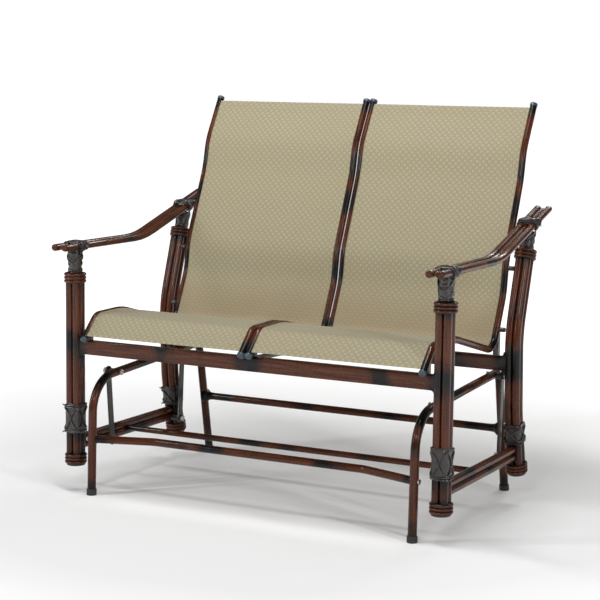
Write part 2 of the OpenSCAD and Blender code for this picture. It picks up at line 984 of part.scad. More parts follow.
hoop_bar(-1);  // base_hoop_left
hoop_bar(1);  // base_hoop_right
base_front_crossbar();
base_rear_crossbar();
base_foot_caps();
crossbar_bolts();
upper_pivot_bolts();
upper_pivot_nuts();
hanger(-1, upper_pivots[0], lower_pivots[0]);  // hanger_front_left
hanger(1, upper_pivots[0], lower_pivots[0]);  // hanger_front_right
hanger(-1, upper_pivots[1], lower_pivots[1]);  // hanger_rear_left
hanger(1, upper_pivots[1], lower_pivots[1]);  // hanger_rear_right
bushings(-1, upper_pivots[0], lower_pivots[0], run_gap);  // bushings_front_left
bushings(1, upper_pivots[0], lower_pivots[0], open_room);  // bushings_front_right
bushings(-1, upper_pivots[1], lower_pivots[1], open_room);  // bushings_rear_left
bushings(1, upper_pivots[1], lower_pivots[1], open_room);  // bushings_rear_right
front_post_bar(-1);  // post_front_left
front_post_bar(1);  // post_front_right
rear_post_bar(-1);  // post_rear_left
rear_post_bar(1);  // post_rear_right
top_collars();
foot_collars();
foot_plugs();
arm_spigots();
arm_necks();
arm_reeds(-1);  // arm_left
arm_reeds(1);  // arm_right
arm_wraps();
post_lashings();
seat_front_rail();
seat_rear_rail();
centre_support();
rail_saddles();
side_stretcher(-1);  // side_stretcher_left
side_stretcher(1);  // side_stretcher_right
middle_stretcher();
lower_pivot_bolts();
sling_rail_bar(-rail_x, 1);  // sling_rail_outer_left
sling_rail_bar(-inner_rail_x, -1);  // sling_rail_inner_left
sling_rail_bar(inner_rail_x, 1);  // sling_rail_inner_right
sling_rail_bar(rail_x, -1);  // sling_rail_outer_right
rail_end_plugs();
rail_spacers();
spacer_studs();
sling_spreaders();
splines(-1);  // sling_splines_left
splines(1);  // sling_splines_right
sling_sheet(-1);  // sling_left
sling_sheet(1);  // sling_right
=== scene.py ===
# Looks of the two-seat sling glider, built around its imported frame.
# Lengths are in millimetres until a mesh is made, and every piece is drawn in the frame's own axes.
import json
import math

import bmesh
import bpy
import numpy as np
from mathutils import Matrix, Vector


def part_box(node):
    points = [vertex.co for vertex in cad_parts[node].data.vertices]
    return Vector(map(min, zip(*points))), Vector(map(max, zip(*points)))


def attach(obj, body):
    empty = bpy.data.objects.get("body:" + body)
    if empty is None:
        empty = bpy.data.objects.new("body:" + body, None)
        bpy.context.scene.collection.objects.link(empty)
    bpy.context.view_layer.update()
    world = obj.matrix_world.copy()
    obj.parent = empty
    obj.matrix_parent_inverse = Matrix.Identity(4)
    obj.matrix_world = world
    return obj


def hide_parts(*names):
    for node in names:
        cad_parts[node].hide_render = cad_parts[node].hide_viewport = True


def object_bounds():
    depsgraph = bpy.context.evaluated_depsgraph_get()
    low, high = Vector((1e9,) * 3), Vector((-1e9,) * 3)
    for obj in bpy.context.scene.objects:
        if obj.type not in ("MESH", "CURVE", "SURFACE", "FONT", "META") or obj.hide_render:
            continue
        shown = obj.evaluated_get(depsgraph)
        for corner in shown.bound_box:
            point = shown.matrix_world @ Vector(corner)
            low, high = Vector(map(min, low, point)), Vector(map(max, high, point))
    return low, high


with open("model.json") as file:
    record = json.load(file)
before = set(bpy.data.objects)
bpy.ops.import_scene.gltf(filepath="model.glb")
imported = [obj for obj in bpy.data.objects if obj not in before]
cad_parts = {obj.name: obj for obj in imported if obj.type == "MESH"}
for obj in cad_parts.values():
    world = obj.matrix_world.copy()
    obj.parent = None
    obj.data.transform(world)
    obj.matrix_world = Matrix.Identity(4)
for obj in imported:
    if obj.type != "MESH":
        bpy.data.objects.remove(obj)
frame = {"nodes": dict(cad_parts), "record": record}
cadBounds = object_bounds()
nodeBody = {node: body for body, nodes in frame["record"]["behaviour"]["bodies"].items() for node in nodes}
metresPerMm = 0.001
sides = (-1, 1)


# ---- places read from the frame ----

def span(node):
    low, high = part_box(node)
    return np.array(low) / metresPerMm, np.array(high) / metresPerMm


def middle(node):
    return sum(span(node)) / 2


objectLow, objectHigh = (np.array(corner) / metresPerMm for corner in cadBounds)
postX = middle("post_front_right")[0]
frontPostY = middle("post_front_right")[1]
postHalf = (span("post_front_right")[1] - span("post_front_right")[0])[0] / 2
hoopX = middle("base_hoop_right")[0]
outerRailX = middle("sling_rail_outer_right")[0]
innerRailX = middle("sling_rail_inner_right")[0]
slingMidX = (outerRailX + innerRailX) / 2
postFootZ, frontPostTop = span("post_front_right")[0][2], span("post_front_right")[1][2]
stretcherZ = middle("side_stretcher_right")[2]


# ---- routes and surfaces ----

# The angle from level of the line between two (y, z) places.
def leanOf(first, second):
    return math.atan2(second[1] - first[1], second[0] - first[0])


# Even steps once round: the angles, their cosines and their sines.
def aroundSteps(steps):
    turn = np.arange(steps) * 2 * math.pi / steps
    return turn, np.cos(turn), np.sin(turn)


# How far a rounded square reaches in the direction (c, s): (|c|^p + |s|^p)^(-1/p). It is a circle at p = 2.
def squareReach(c, s, power):
    return (np.abs(c) ** power + np.abs(s) ** power) ** (-1 / power)


# A planar route: each inner corner becomes an arc of its bend radius that touches both straight legs.
# Gives places (n x 2), headings in radians and the distance along.
def roundedRoute(corners, bends, spacing=10, arcStep=math.radians(5)):
    corners = np.array(corners, float)
    legs = np.diff(corners, axis=0)
    angles = np.unwrap(np.arctan2(legs[:, 1], legs[:, 0]))
    turns = np.append(np.diff(angles), 0)
    setbacks = np.zeros(len(corners))
    setbacks[1:-1] = np.array(bends, float)[1:-1] * np.tan(np.abs(turns[:-1]) / 2)
    places, headings = [], []
    for i, angle in enumerate(angles):
        along = np.array([math.cos(angle), math.sin(angle)])
        left = np.array([-along[1], along[0]])
        start = corners[i] + setbacks[i] * along
        end = corners[i + 1] - setbacks[i + 1] * along
        share = np.linspace(0, 1, max(2, int(np.linalg.norm(end - start) / spacing) + 1))
        places.append(start + (end - start) * share[:, None])
        headings.append(np.full(len(share), angle))
        if abs(turns[i]) > 0:
            towards = math.copysign(bends[i + 1], turns[i])
            centre = end + towards * left
            swing = angle + turns[i] * np.linspace(0, 1, max(3, int(abs(turns[i]) / arcStep) + 1))[1:-1]
            places.append(centre - towards * np.stack([-np.sin(swing), np.cos(swing)], 1))
            headings.append(swing)
    places, headings = np.concatenate(places), np.concatenate(headings)
    steps = np.linalg.norm(np.diff(places, axis=0), axis=1)
    return places, headings, np.concatenate([[0], np.cumsum(steps)])


# Cuts a length off both ends of a corner list.
def shortened(corners, first, last):
    corners = np.array(corners, float)
    start, end = corners[1] - corners[0], corners[-2] - corners[-1]
    corners[0] += first * start / np.linalg.norm(start)
    corners[-1] += last * end / np.linalg.norm(end)
    return corners


# Points of an oval, or of a rounded box when the power is above 2.
def ovalOutline(halfU, halfV, steps, power=2):
    c, s = aroundSteps(steps)[1:]
    reach = squareReach(c, s, power)
    return np.stack([halfU * c * reach, halfV * s * reach], 1)


# The quads between neighbouring rows and columns of an n x m grid whose columns wrap round.
def gridQuads(n, m, ring=False):
    i = np.arange(n if ring else n - 1)[:, None] * m
    j = np.arange(m)[None, :]
    after, beside = (i + m) % (n * m), (j + 1) % m
    return np.stack(np.broadcast_arrays(i + j, i + beside, after + beside, after + j), -1).reshape(-1, 4)


# A grid of points as one closed surface. Columns wrap round, and the ends close on a middle point each.
# The paint's darkness is the row's own plus the column's own; the column's part is painted shade in
# grooves.
def gridPart(grid, distances, burn=None, ring=False, grooveShade=None):
    n, m = grid.shape[:2]
    quads = gridQuads(n, m, ring)
    rows = len(quads) // m
    widths = np.linalg.norm(np.roll(grid[n // 2], -1, axis=0) - grid[n // 2], axis=1)
    around = np.concatenate([[0], np.cumsum(widths)])
    lengths = np.append(distances, 2 * distances[-1] - distances[-2])
    u0, u1 = np.repeat(lengths[:rows], m), np.repeat(lengths[1:rows + 1], m)
    v0, v1 = np.tile(around[:-1], rows), np.tile(around[1:], rows)
    quadUv = np.stack([u0, v0, u0, v1, u1, v1, u1, v0], -1).reshape(-1, 4, 2)
    points = grid.reshape(-1, 3)
    tris = np.zeros((0, 3), int)
    triUv = np.zeros((0, 3, 2))
    burnt = np.zeros(n) if burn is None else burn
    tone = (burnt[:, None] + (np.zeros(m) if grooveShade is None else grooveShade)[None, :]).ravel()
    if not ring:
        points = np.concatenate([points, grid[:1].mean(1), grid[-1:].mean(1)])
        k = np.arange(m)
        start = np.stack([np.full(m, n * m), (k + 1) % m, k], 1)
        end = np.stack([(n - 1) * m + k, (n - 1) * m + (k + 1) % m, np.full(m, n * m + 1)], 1)
        tris = np.concatenate([start, end])
        triUv = points[tris][:, :, :2]
        tone = np.concatenate([tone, burnt[:1], burnt[-1:]])
    part = {"points": points, "quads": quads, "tris": tris, "quadUv": quadUv, "triUv": triUv, "burn": tone}
    p, q, r = points[np.concatenate([quads[:, :3], quads[:, [0, 2, 3]], tris])].transpose(1, 0, 2)
    if np.einsum("ij,ij->", np.cross(q - p, r - p), p) < 0:
        part["quads"], part["quadUv"] = quads[:, ::-1], quadUv[:, ::-1]
        part["tris"], part["triUv"] = tris[:, ::-1], triUv[:, ::-1]
    return part


# A profile pushed along a route in a plane of constant x: place + u * left normal + v * X, times the scale.
def sweptPart(route, x, profile, scale=None, burn=None, grooveShade=None):
    places, headings, distances = route
    scale = np.ones(len(places)) if scale is None else scale
    u, v = profile[None, :, 0] * scale[:, None], profile[None, :, 1] * scale[:, None]
    grid = np.stack([
        x + v,
        places[:, 0, None] - u * np.sin(headings)[:, None],
        places[:, 1, None] + u * np.cos(headings)[:, None]], -1)
    return gridPart(grid, distances, burn, grooveShade=grooveShade)


# Adds shrinking stations to both ends of a route so that a round bar ends in two half balls.
def domedRoute(route, radius, steps=6):
    places, headings, distances = route
    rise = np.linspace(0, math.pi / 2, steps + 1)[1:] * 0.97
    first = places[0] - radius * np.sin(rise)[::-1, None] * [math.cos(headings[0]), math.sin(headings[0])]
    last = places[-1] + radius * np.sin(rise)[:, None] * [math.cos(headings[-1]), math.sin(headings[-1])]
    distances = np.concatenate([
        distances[0] - radius * rise[::-1], distances, distances[-1] + radius * rise])
    headings = np.concatenate([np.full(steps, headings[0]), headings, np.full(steps, headings[-1])])
    scale = np.concatenate([np.cos(rise)[::-1], np.ones(len(places)), np.cos(rise)])
    return (np.concatenate([first, places, last]), headings, distances), scale


# A surface of revolution about a leaning axis: place + height * axis + radius * (cos, sin) across it.
def lathePart(place, lean, profile, steps=40, burn=None):
    radii, heights = np.array(profile, float).T
    axis = np.array([0, math.cos(lean), math.sin(lean)])
    across = np.array([0, -math.sin(lean), math.cos(lean)])
    c, s = aroundSteps(steps)[1:]
    spokes = c[:, None] * [1, 0, 0] + s[:, None] * across
    grid = np.array(place) + heights[:, None, None] * axis + radii[:, None, None] * spokes[None]
    distances = np.concatenate([[0], np.cumsum(np.hypot(np.diff(radii), np.diff(heights)) + 1e-6)])
    return gridPart(grid, distances, burn)


# A cord along points in space: point + outline, whose first number points along the outward arrows.
def cordPart(points, outward, outline, ring=False, taper=None, burn=None):
    tangents = np.roll(points, -1, 0) - np.roll(points, 1, 0) if ring else np.gradient(points, axis=0)
    tangents /= np.linalg.norm(tangents, axis=1)[:, None]
    outward = outward - np.einsum("ij,ij->i", outward, tangents)[:, None] * tangents
    outward /= np.linalg.norm(outward, axis=1)[:, None]
    beside = np.cross(tangents, outward)
    size = np.ones(len(points)) if taper is None else taper
    u, v = outline[None, :, 0] * size[:, None], outline[None, :, 1] * size[:, None]
    grid = points[:, None] + u[..., None] * outward[:, None] + v[..., None] * beside[:, None]
    steps = np.linalg.norm(np.diff(points, axis=0), axis=1)
    return gridPart(grid, np.concatenate([[0], np.cumsum(steps)]), burn, ring)


# Dark patches along a tube: rounded steps near each listed distance, and a slow wave between them.
def burnAlong(distances, spots, reach, period=170, phase=0.0, depth=0.5):
    wave = 0.5 + 0.5 * np.sin(2 * math.pi * distances / period + phase)
    tone = depth * wave ** 2
    for spot in spots:
        tone = np.maximum(tone, np.exp(-((distances - spot) / reach) ** 2))
    return tone


# A soft step from 0 at low to 1 at high: t * t * (3 - 2t).
def smoothStep(value, low, high):
    share = np.clip((value - low) / (high - low), 0, 1)
    return share * share * (3 - 2 * share)


# ---- meshes and pieces ----

def placeObject(name, data):
    placed = bpy.data.objects.new(name, data)
    bpy.context.scene.collection.objects.link(placed)
    return placed


def makePiece(name, parts, material, stands, body=None, sharp=35):
    offsets = np.cumsum([0] + [len(part["points"]) for part in parts])
    points = np.concatenate([part["points"] for part in parts]) * metresPerMm
    quads = np.concatenate([part["quads"] + shift for part, shift in zip(parts, offsets)])
    tris = np.concatenate([part["tris"] + shift for part, shift in zip(parts, offsets)])
    mesh = bpy.data.meshes.new(name)
    mesh.from_pydata(points.tolist(), [], quads.tolist() + tris.tolist())
    uv = np.concatenate([part[key].reshape(-1, 2) for key in ("quadUv", "triUv") for part in parts])
    mesh.uv_layers.new(name="UVMap").data.foreach_set("uv", (uv * metresPerMm).astype(np.float32).ravel())
    burn = mesh.attributes.new("burn", "FLOAT", "POINT")
    burn.data.foreach_set("value", np.concatenate([part["burn"] for part in parts]).astype(np.float32))
    mesh.shade_smooth()
    mesh.set_sharp_from_angle(angle=math.radians(sharp))
    mesh.validate()
    mesh.materials.append(material)
    piece = placeObject(name, mesh)
    finishPiece(piece, stands, body)
    return piece


def finishPiece(piece, stands, body=None):
    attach(piece, body or nodeBody[stands[0]])
    if stands:
        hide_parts(*stands)


# A copy of a machined part with its doubled points merged, its flat faces rejoined and its edges rounded.
def roundedCopy(node, name, material, slot, width):
    mesh = frame["nodes"][node].data.copy()
    mesh.name = name
    work = bmesh.new()
    work.from_mesh(mesh)
    bmesh.ops.remove_doubles(work, verts=work.verts, dist=0.00002)
    bmesh.ops.dissolve_limit(
        work, angle_limit=math.radians(1.5), verts=work.verts, edges=work.edges, delimit={"NORMAL"})
    work.to_mesh(mesh)
    work.free()
    mesh.materials.clear()
    mesh.materials.append(material)
    piece = placeObject(name, mesh)
    bevel = piece.modifiers.new("softEdges", "BEVEL")
    bevel.width = width * metresPerMm
    bevel.segments = 2
    bevel.limit_method = "ANGLE"
    bevel.angle_limit = math.radians(38)
    mesh.shade_smooth()
    mesh.set_sharp_from_angle(angle=math.radians(40))
    finishPiece(piece, [node])


# Gives a CAD node that stays in view a material.
def paintNode(node, material):
    for slot in frame["nodes"][node].material_slots:
        slot.material = material


# ---- shader helpers ----

# One output of a shader tree. Arithmetic on it adds Math nodes.
class Signal:
    def __init__(self, tree, socket):
        self.tree, self.socket = tree, socket

    def calc(self, operation, *operands):
        node = self.tree.nodes.new("ShaderNodeMath")
        node.operation = operation
        for slot, operand in zip(node.inputs, operands):
            feed(self.tree, operand, slot)
        return Signal(self.tree, node.outputs[0])

    def __add__(self, other):
        return self.calc("ADD", self, other)

    def __radd__(self, other):
        return self.calc("ADD", other, self)

    def __sub__(self, other):
        return self.calc("SUBTRACT", self, other)

    def __rsub__(self, other):
        return self.calc("SUBTRACT", other, self)

    def __mul__(self, other):
        return self.calc("MULTIPLY", self, other)

    def __rmul__(self, other):
        return self.calc("MULTIPLY", other, self)

    def __truediv__(self, other):
        return self.calc("DIVIDE", self, other)

    def __mod__(self, other):
        return self.calc("MODULO", self, other)

    def floor(self):
        return self.calc("FLOOR", self)

    def sine(self):
        return self.calc("SINE", self)

    def size(self):
        return self.calc("ABSOLUTE", self)

    def clamped(self):
        return self.calc("MINIMUM", self.calc("MAXIMUM", self, 0.0), 1.0)


def feed(tree, value, slot):
    if isinstance(value, Signal):
        tree.links.new(value.socket, slot)
    else:
        slot.default_value = value


socketNames = {
    "colour": "Base Color",
    "coat": "Coat Weight",
    "coatRoughness": "Coat Roughness",
    "specular": "Specular IOR Level",
    "sheen": "Sheen Weight",
    "sheenRoughness": "Sheen Roughness",
    "glow": "Emission Color",
    "glowStrength": "Emission Strength",
}


# A material being written: node() takes a type, its settings and then what goes into its sockets.
class Finish:
    def __init__(self, name):
        self.material = bpy.data.materials.new(name)
        self.material.use_nodes = True
        self.tree = self.material.node_tree
        self.shader = self.tree.nodes["Principled BSDF"]

    def node(self, kind, settings=None, inputs=None, output=0):
        node = self.tree.nodes.new(kind)
        for key, value in (settings or {}).items():
            if key == "stops":
                self.placeStops(node.color_ramp, value)
            else:
                setattr(node, key, value)
        for key, value in (inputs or {}).items():
            feed(self.tree, value, node.inputs[key])
        return Signal(self.tree, node.outputs[output])

    def placeStops(self, ramp, stops):
        while len(ramp.elements) < len(stops):
            ramp.elements.new(0.5)
        for element, (place, colour) in zip(ramp.elements, stops):
            element.position, element.color = place, (*colour, 1)

    def noise(self, where, scale, detail=3.0):
        return self.node("ShaderNodeTexNoise", {}, {
            "Vector": where, "Scale": scale, "Detail": detail, "Roughness": 0.55})

    def objectPlace(self):
        return self.node("ShaderNodeTexCoord", output=3)

    def surfacePlace(self, alongScale, aroundScale):
        place = self.node("ShaderNodeUVMap", {"uv_map": "UVMap"})
        scale = (alongScale, aroundScale, 1.0)
        return self.node("ShaderNodeMapping", {}, {"Vector": place, "Scale": scale})

    def attribute(self, name):
        return self.node("ShaderNodeAttribute", {"attribute_name": name}, output=2)

    def blend(self, share, first, second):
        return self.node("ShaderNodeMix", {"data_type": "RGBA"}, {0: share, 6: first, 7: second}, output=2)

    def bump(self, height, strength, distance):
        return self.node("ShaderNodeBump", {}, {
            "Height": height, "Strength": strength, "Distance": distance * metresPerMm})

    def set(self, **values):
        for key, value in values.items():
            feed(self.tree, value, self.shader.inputs[socketNames.get(key, key.capitalize())])
        return self.material


def shade(red, green, blue):
    return (red, green, blue, 1.0)


# ---- materials ----

caneLooks = {
    "brown": shade(0.050, 0.0125, 0.0045),
    "lightBrown": shade(0.150, 0.043, 0.0145),
    "burnt": shade(0.0040, 0.0030, 0.0026),
    "patchScale": 17.0,
    "patchGain": 1.9,
    "streakScale": (9.0, 160.0),    # along and across the grain
    "streakGain": 0.7,
    "fleckScale": 260.0,
    "burnStart": 0.30,
    "burnContrast": 1.9,
    "roughness": 0.26,
    "specular": 0.16,
    "coat": 0.24,
}


def burntCane():
    looks = caneLooks
    finish = Finish("burntCane")
    where = finish.objectPlace()
    patches = finish.noise(where, looks["patchScale"], 4.0)
    streaks = finish.noise(finish.surfacePlace(*looks["streakScale"]), 1.0)
    flecks = finish.noise(where, looks["fleckScale"], 2.0)
    drift = (patches - 0.5) * looks["patchGain"] + (streaks - 0.5) * looks["streakGain"]
    # The burn attribute holds the real burn marks and also painted shade: it darkens the post grooves and
    # the gaps between collar rounds.
    dark = ((finish.attribute("burn") + drift - looks["burnStart"]) * looks["burnContrast"]).clamped()
    tint = ((streaks - 0.40) * 2.2 + (flecks - 0.5) * 0.5).clamped()
    brown = finish.blend(tint, looks["brown"], looks["lightBrown"])
    colour = finish.blend(dark, brown, looks["burnt"])
    height = streaks * 0.5 + flecks * 0.5
    return finish.set(
        colour=colour,
        roughness=looks["roughness"] + (flecks - 0.5) * 0.10 + dark * 0.05,
        coat=looks["coat"], coatRoughness=0.08, specular=looks["specular"],
        normal=finish.bump(height, 0.08, 0.05))


metalLooks = {
    "dark": shade(0.020, 0.017, 0.015),
    "worn": shade(0.085, 0.055, 0.038),
    "steel": shade(0.46, 0.45, 0.43),
    "rust": shade(0.16, 0.10, 0.065),
}


def darkMetal():
    finish = Finish("darkMetal")
    where = finish.objectPlace()
    cloud = finish.noise(where, 38.0, 4.0)
    grain = finish.noise(where, 900.0, 2.0)
    worn = ((cloud - 0.5) * 2.6).clamped()
    return finish.set(
        colour=finish.blend(worn, metalLooks["dark"], metalLooks["worn"]),
        roughness=0.34 + grain * 0.16,
        coat=0.35, coatRoughness=0.2,
        normal=finish.bump(grain, 0.25, 0.08))


def zincSteel():
    finish = Finish("zincSteel")
    where = finish.objectPlace()
    cloud = finish.noise(where, 120.0, 4.0)
    scratches = finish.noise(where, 1500.0, 2.0)
    return finish.set(
        colour=finish.blend(((cloud - 0.52) * 3.0).clamped(), metalLooks["steel"], metalLooks["rust"]),
        metallic=0.95,
        roughness=0.30 + cloud * 0.22,
        normal=finish.bump(scratches, 0.2, 0.05))


def mouldedPlastic(name, colour, paler, roughness):
    finish = Finish(name)
    where = finish.objectPlace()
    cloud = finish.noise(where, 60.0, 3.0)
    stipple = finish.noise(where, 1400.0, 2.0)
    return finish.set(
        colour=finish.blend(cloud, colour, paler),
        roughness=roughness + (stipple - 0.5) * 0.18,
        normal=finish.bump(stipple, 0.3, 0.08))


def woundLeather():
    finish = Finish("woundLeather")
    where = finish.objectPlace()
    grain = finish.node(
        "ShaderNodeTexVoronoi", {"feature": "DISTANCE_TO_EDGE"}, {"Vector": where, "Scale": 700.0})
    fibre = finish.noise(finish.surfacePlace(30.0, 900.0), 1.0, 3.0)
    cloud = finish.noise(where, 90.0, 3.0)
    edge = (1 - grain * 9.0).clamped()
    colour = finish.blend(
        ((cloud - 0.45) * 2.4).clamped(), shade(0.012, 0.010, 0.010), shade(0.060, 0.034, 0.022))
    return finish.set(
        colour=colour,
        roughness=0.30 + fibre * 0.22,
        coat=0.5, coatRoughness=0.22,
        normal=finish.bump(fibre * 0.7 - edge * 0.4, 0.5, 0.25))


clothLooks = {
    "check": 8.6,      # width of one block of the basket weave
    "threads": 4,      # threads across a block
    "pale": shade(0.405, 0.362, 0.235),
    "deep": shade(0.305, 0.266, 0.158),
    # tan: colour of the stains, also of the painted crease shade
    "tan": shade(0.350, 0.262, 0.142),
    # gap: painted shade between threads and between blocks
    "gap": shade(0.085, 0.070, 0.040),
}


# Blocks of threads turn a quarter from one to the next, as in a basket weave.
def slingCloth():
    looks = clothLooks
    finish = Finish("slingCloth")
    place = finish.node("ShaderNodeUVMap", {"uv_map": "UVMap"})
    split = finish.node("ShaderNodeSeparateXYZ", {}, {0: place})
    along, across = split, Signal(finish.tree, split.socket.node.outputs[1])
    check = looks["check"] * metresPerMm
    row, column = along / check, across / check
    turned = ((row.floor() + column.floor()) * 0.5 % 1.0).size() * 2
    lanes = looks["threads"] * math.pi
    warp = (column * lanes).sine().size()
    weft = (row * lanes).sine().size()
    ridge = turned * warp + (1 - turned) * weft
    dips = [1 - (line * math.pi).sine().size() for line in (row, column)]
    seam = dips[0] * dips[0] + dips[1] * dips[1]
    yarn = finish.noise(finish.surfacePlace(260.0, 260.0), 1.0, 2.0)
    cloud = finish.noise(finish.objectPlace(), 9.0, 3.0)
    shadow = (turned * 0.75 + (yarn - 0.5) * 1.1 + 0.08).clamped()
    # Random tan stains from the cloud, plus painted shade where the burn attribute carries the crease
    # shade.
    stainAndCreaseShade = ((cloud - 0.4) * 0.5 + finish.attribute("burn") * 0.75).clamped()
    block = finish.blend(stainAndCreaseShade, finish.blend(shadow, looks["pale"], looks["deep"]), looks["tan"])
    # Painted shade between the threads and along the seams between blocks.
    gapShade = ((1 - ridge) * 0.30 + seam * 0.16).clamped()
    colour = finish.blend(gapShade, block, looks["gap"])
    return finish.set(
        colour=colour,
        roughness=0.62 + (yarn - 0.5) * 0.2,
        sheen=0.15, sheenRoughness=0.5,
        normal=finish.bump(ridge + yarn * 0.3 - seam * 0.4, 0.55, 0.35))


def hemThread():
    finish = Finish("hemThread")
    twist = finish.noise(finish.objectPlace(), 2200.0, 2.0)
    return finish.set(
        colour=finish.blend(twist, shade(0.30, 0.26, 0.15), shade(0.50, 0.44, 0.28)),
        roughness=0.6 + twist * 0.2,
        normal=finish.bump(twist, 0.4, 0.1))


print("materials")
cane = burntCane()
metal = darkMetal()
steel = zincSteel()
nylon = mouldedPlastic("nylon", shade(0.018, 0.018, 0.020), shade(0.040, 0.040, 0.043), 0.42)
rubber = mouldedPlastic("footRubber", shade(0.012, 0.011, 0.010), shade(0.030, 0.028, 0.026), 0.55)
slate = mouldedPlastic("slatePlug", shade(0.030, 0.046, 0.062), shade(0.062, 0.086, 0.108), 0.33)
leather = woundLeather()
cloth = slingCloth()
thread = hemThread()


# ---- base ----

hoopSizes = {
    "radius": 11,
    "corners": [(-321, 0), (-312, 300), (216, 328), (278, 0)],
    "bends": [0, 92, 34, 0],
    "footLift": 5,
    "crossbarRadius": 10,
    "frontBarRun": 155,
    "frontBarBend": 60,
    "flare": 9,
}


def hoops():
    sizes = hoopSizes
    corners = shortened(sizes["corners"], sizes["footLift"], sizes["footLift"])
    route = roundedRoute(corners, sizes["bends"])
    profile = ovalOutline(sizes["radius"], sizes["radius"], 28)
    total = route[2][-1]
    for side, word in zip(sides, ("left", "right")):
        burn = burnAlong(route[2], (0, 300, 500, total - 330, total), 42, 190, side, 0.42)
        part = sweptPart(route, side * hoopX, profile, burn=burn)
        makePiece("hoop." + word, [part], cane, ["base_hoop_" + word])


# A bar in a level plane: the same push of a round profile, with plan places (x, y) at one height.
def levelBar(route, height, outline, scale, burn):
    places, headings = route[:2]
    points = np.column_stack([places, np.full(len(places), height)])
    left = np.column_stack([-np.sin(headings), np.cos(headings), np.zeros(len(headings))])
    return cordPart(points, left, outline, taper=scale, burn=burn)


# How much a bar widens near its two ends, as a weld does: 1 + flare / radius * exp(-distance / fall).
def weldFlare(distances, inset, radius, flare, fall=5.0):
    nearest = np.minimum(distances, distances[-1] - distances) - inset
    return 1 + flare / radius * np.exp(-np.maximum(nearest, 0) / fall)


def crossbars():
    sizes = hoopSizes
    radius = sizes["crossbarRadius"]
    outline = ovalOutline(radius, radius, 24)
    front = middle("base_front_crossbar")
    low, high = span("base_front_crossbar")
    endY = low[1] + radius
    midY = high[1] - radius
    plan = [(-hoopX, endY), (sizes["frontBarRun"] - hoopX, midY),
            (hoopX - sizes["frontBarRun"], midY), (hoopX, endY)]
    route = roundedRoute(plan, [0, sizes["frontBarBend"], sizes["frontBarBend"], 0])
    burn = burnAlong(route[2], (0, 330, route[2][-1] - 260, route[2][-1]), 40, 210, 0.6, 0.45)
    bar = levelBar(route, front[2], outline, np.ones(len(burn)), burn)
    makePiece("frontCrossbar", [bar], cane, ["base_front_crossbar"])
    rear = middle("base_rear_crossbar")
    route = roundedRoute([(-hoopX, rear[1]), (hoopX, rear[1])], [0, 0], spacing=3)
    scale = weldFlare(route[2], sizes["radius"], radius, sizes["flare"])
    burn = burnAlong(route[2], (0, route[2][-1]), 60, 260, 0, 0.75)
    bar = levelBar(route, rear[2], outline, scale, burn)
    makePiece("rearCrossbar", [bar], cane, ["base_rear_crossbar"])


def footCaps():
    parts = []
    corners = hoopSizes["corners"]
    profile = [
        (8, -1), (12.3, -1), (13, 0.5), (13, 14.8), (12.6, 15.8), (11.6, 16), (11.02, 15.4), (11.02, 8)]
    for side in sides:
        for foot, above in ((corners[0], corners[1]), (corners[3], corners[2])):
            part = lathePart((side * hoopX, *foot), leanOf(foot, above), profile)
            part["points"][:, 2] = np.maximum(part["points"][:, 2], 0)
            parts.append(part)
    makePiece("footCaps", parts, rubber, ["base_foot_caps"])


print("base")
hoops()
crossbars()
footCaps()


# ---- posts, collars and stretchers ----

postSizes = {
    "reed": 10.35,
    "reedOffset": 10.2,
    "rear": [(198, 74), (162, 235), (151, 440), (219, 650)],
    "rearBends": [0, 260, 260, 0],
    "collarHeight": 26,
    "ring": 4.3,
    "plug": 5,
    "stretcherEnd": 12,
}


# Four lobes, one for each reed: arcs of the reed's radius about the corners of a small square.
def lobedOutline(radius, offset, steps=12):
    half = math.radians(135) - math.acos(offset / radius)
    turn = np.linspace(-half, half, steps)
    arcs = []
    for quarter in range(4):
        middleAngle = math.radians(90 * quarter + 45)
        centre = offset * math.sqrt(2) * np.array([math.cos(middleAngle), math.sin(middleAngle)])
        arcs.append(centre + radius * np.stack([np.cos(turn + middleAngle), np.sin(turn + middleAngle)], 1))
    return np.concatenate(arcs)


rearLean = leanOf(*postSizes["rear"][:2])
rearTopLean = leanOf(*postSizes["rear"][-2:])


# Where the lowest leg of the rear post's middle line is at a height.
def rearPostY(height):
    foot, above = postSizes["rear"][:2]
    return foot[0] + (above[0] - foot[0]) * (height - foot[1]) / (above[1] - foot[1])


def posts():
    sizes = postSizes
    profile = lobedOutline(sizes["reed"], sizes["reedOffset"])
    front = roundedRoute([(frontPostY, postFootZ), (frontPostY, frontPostTop)], [0, 0])
    rear = roundedRoute(sizes["rear"], sizes["rearBends"])
    reach = np.linalg.norm(profile, axis=1)
    # Painted shade: the reeds darken towards the grooves between them.
    grooveShade = 0.75 * (1 - smoothStep(reach, reach.min(), reach.min() + 5))
    railMiddle = middle("seat_front_rail")[2] - postFootZ
    rearRailMiddle = middle("seat_rear_rail")[2] - postFootZ
    for side, word in zip(sides, ("left", "right")):
        burn = burnAlong(front[2], (0, 90, railMiddle, front[2][-1]), 42, 230, 1.2, 0.28)
        part = sweptPart(front, side * postX, profile, burn=burn, grooveShade=grooveShade)
        makePiece("frontPost." + word, [part], cane, ["post_front_" + word], sharp=40)
        burn = burnAlong(rear[2], (0, 90, rearRailMiddle, rear[2][-1]), 48, 250, 2.4 + side, 0.34)
        part = sweptPart(rear, side * postX, profile, burn=burn, grooveShade=grooveShade)
        makePiece("rearPost." + word, [part], cane, ["post_rear_" + word], sharp=40)


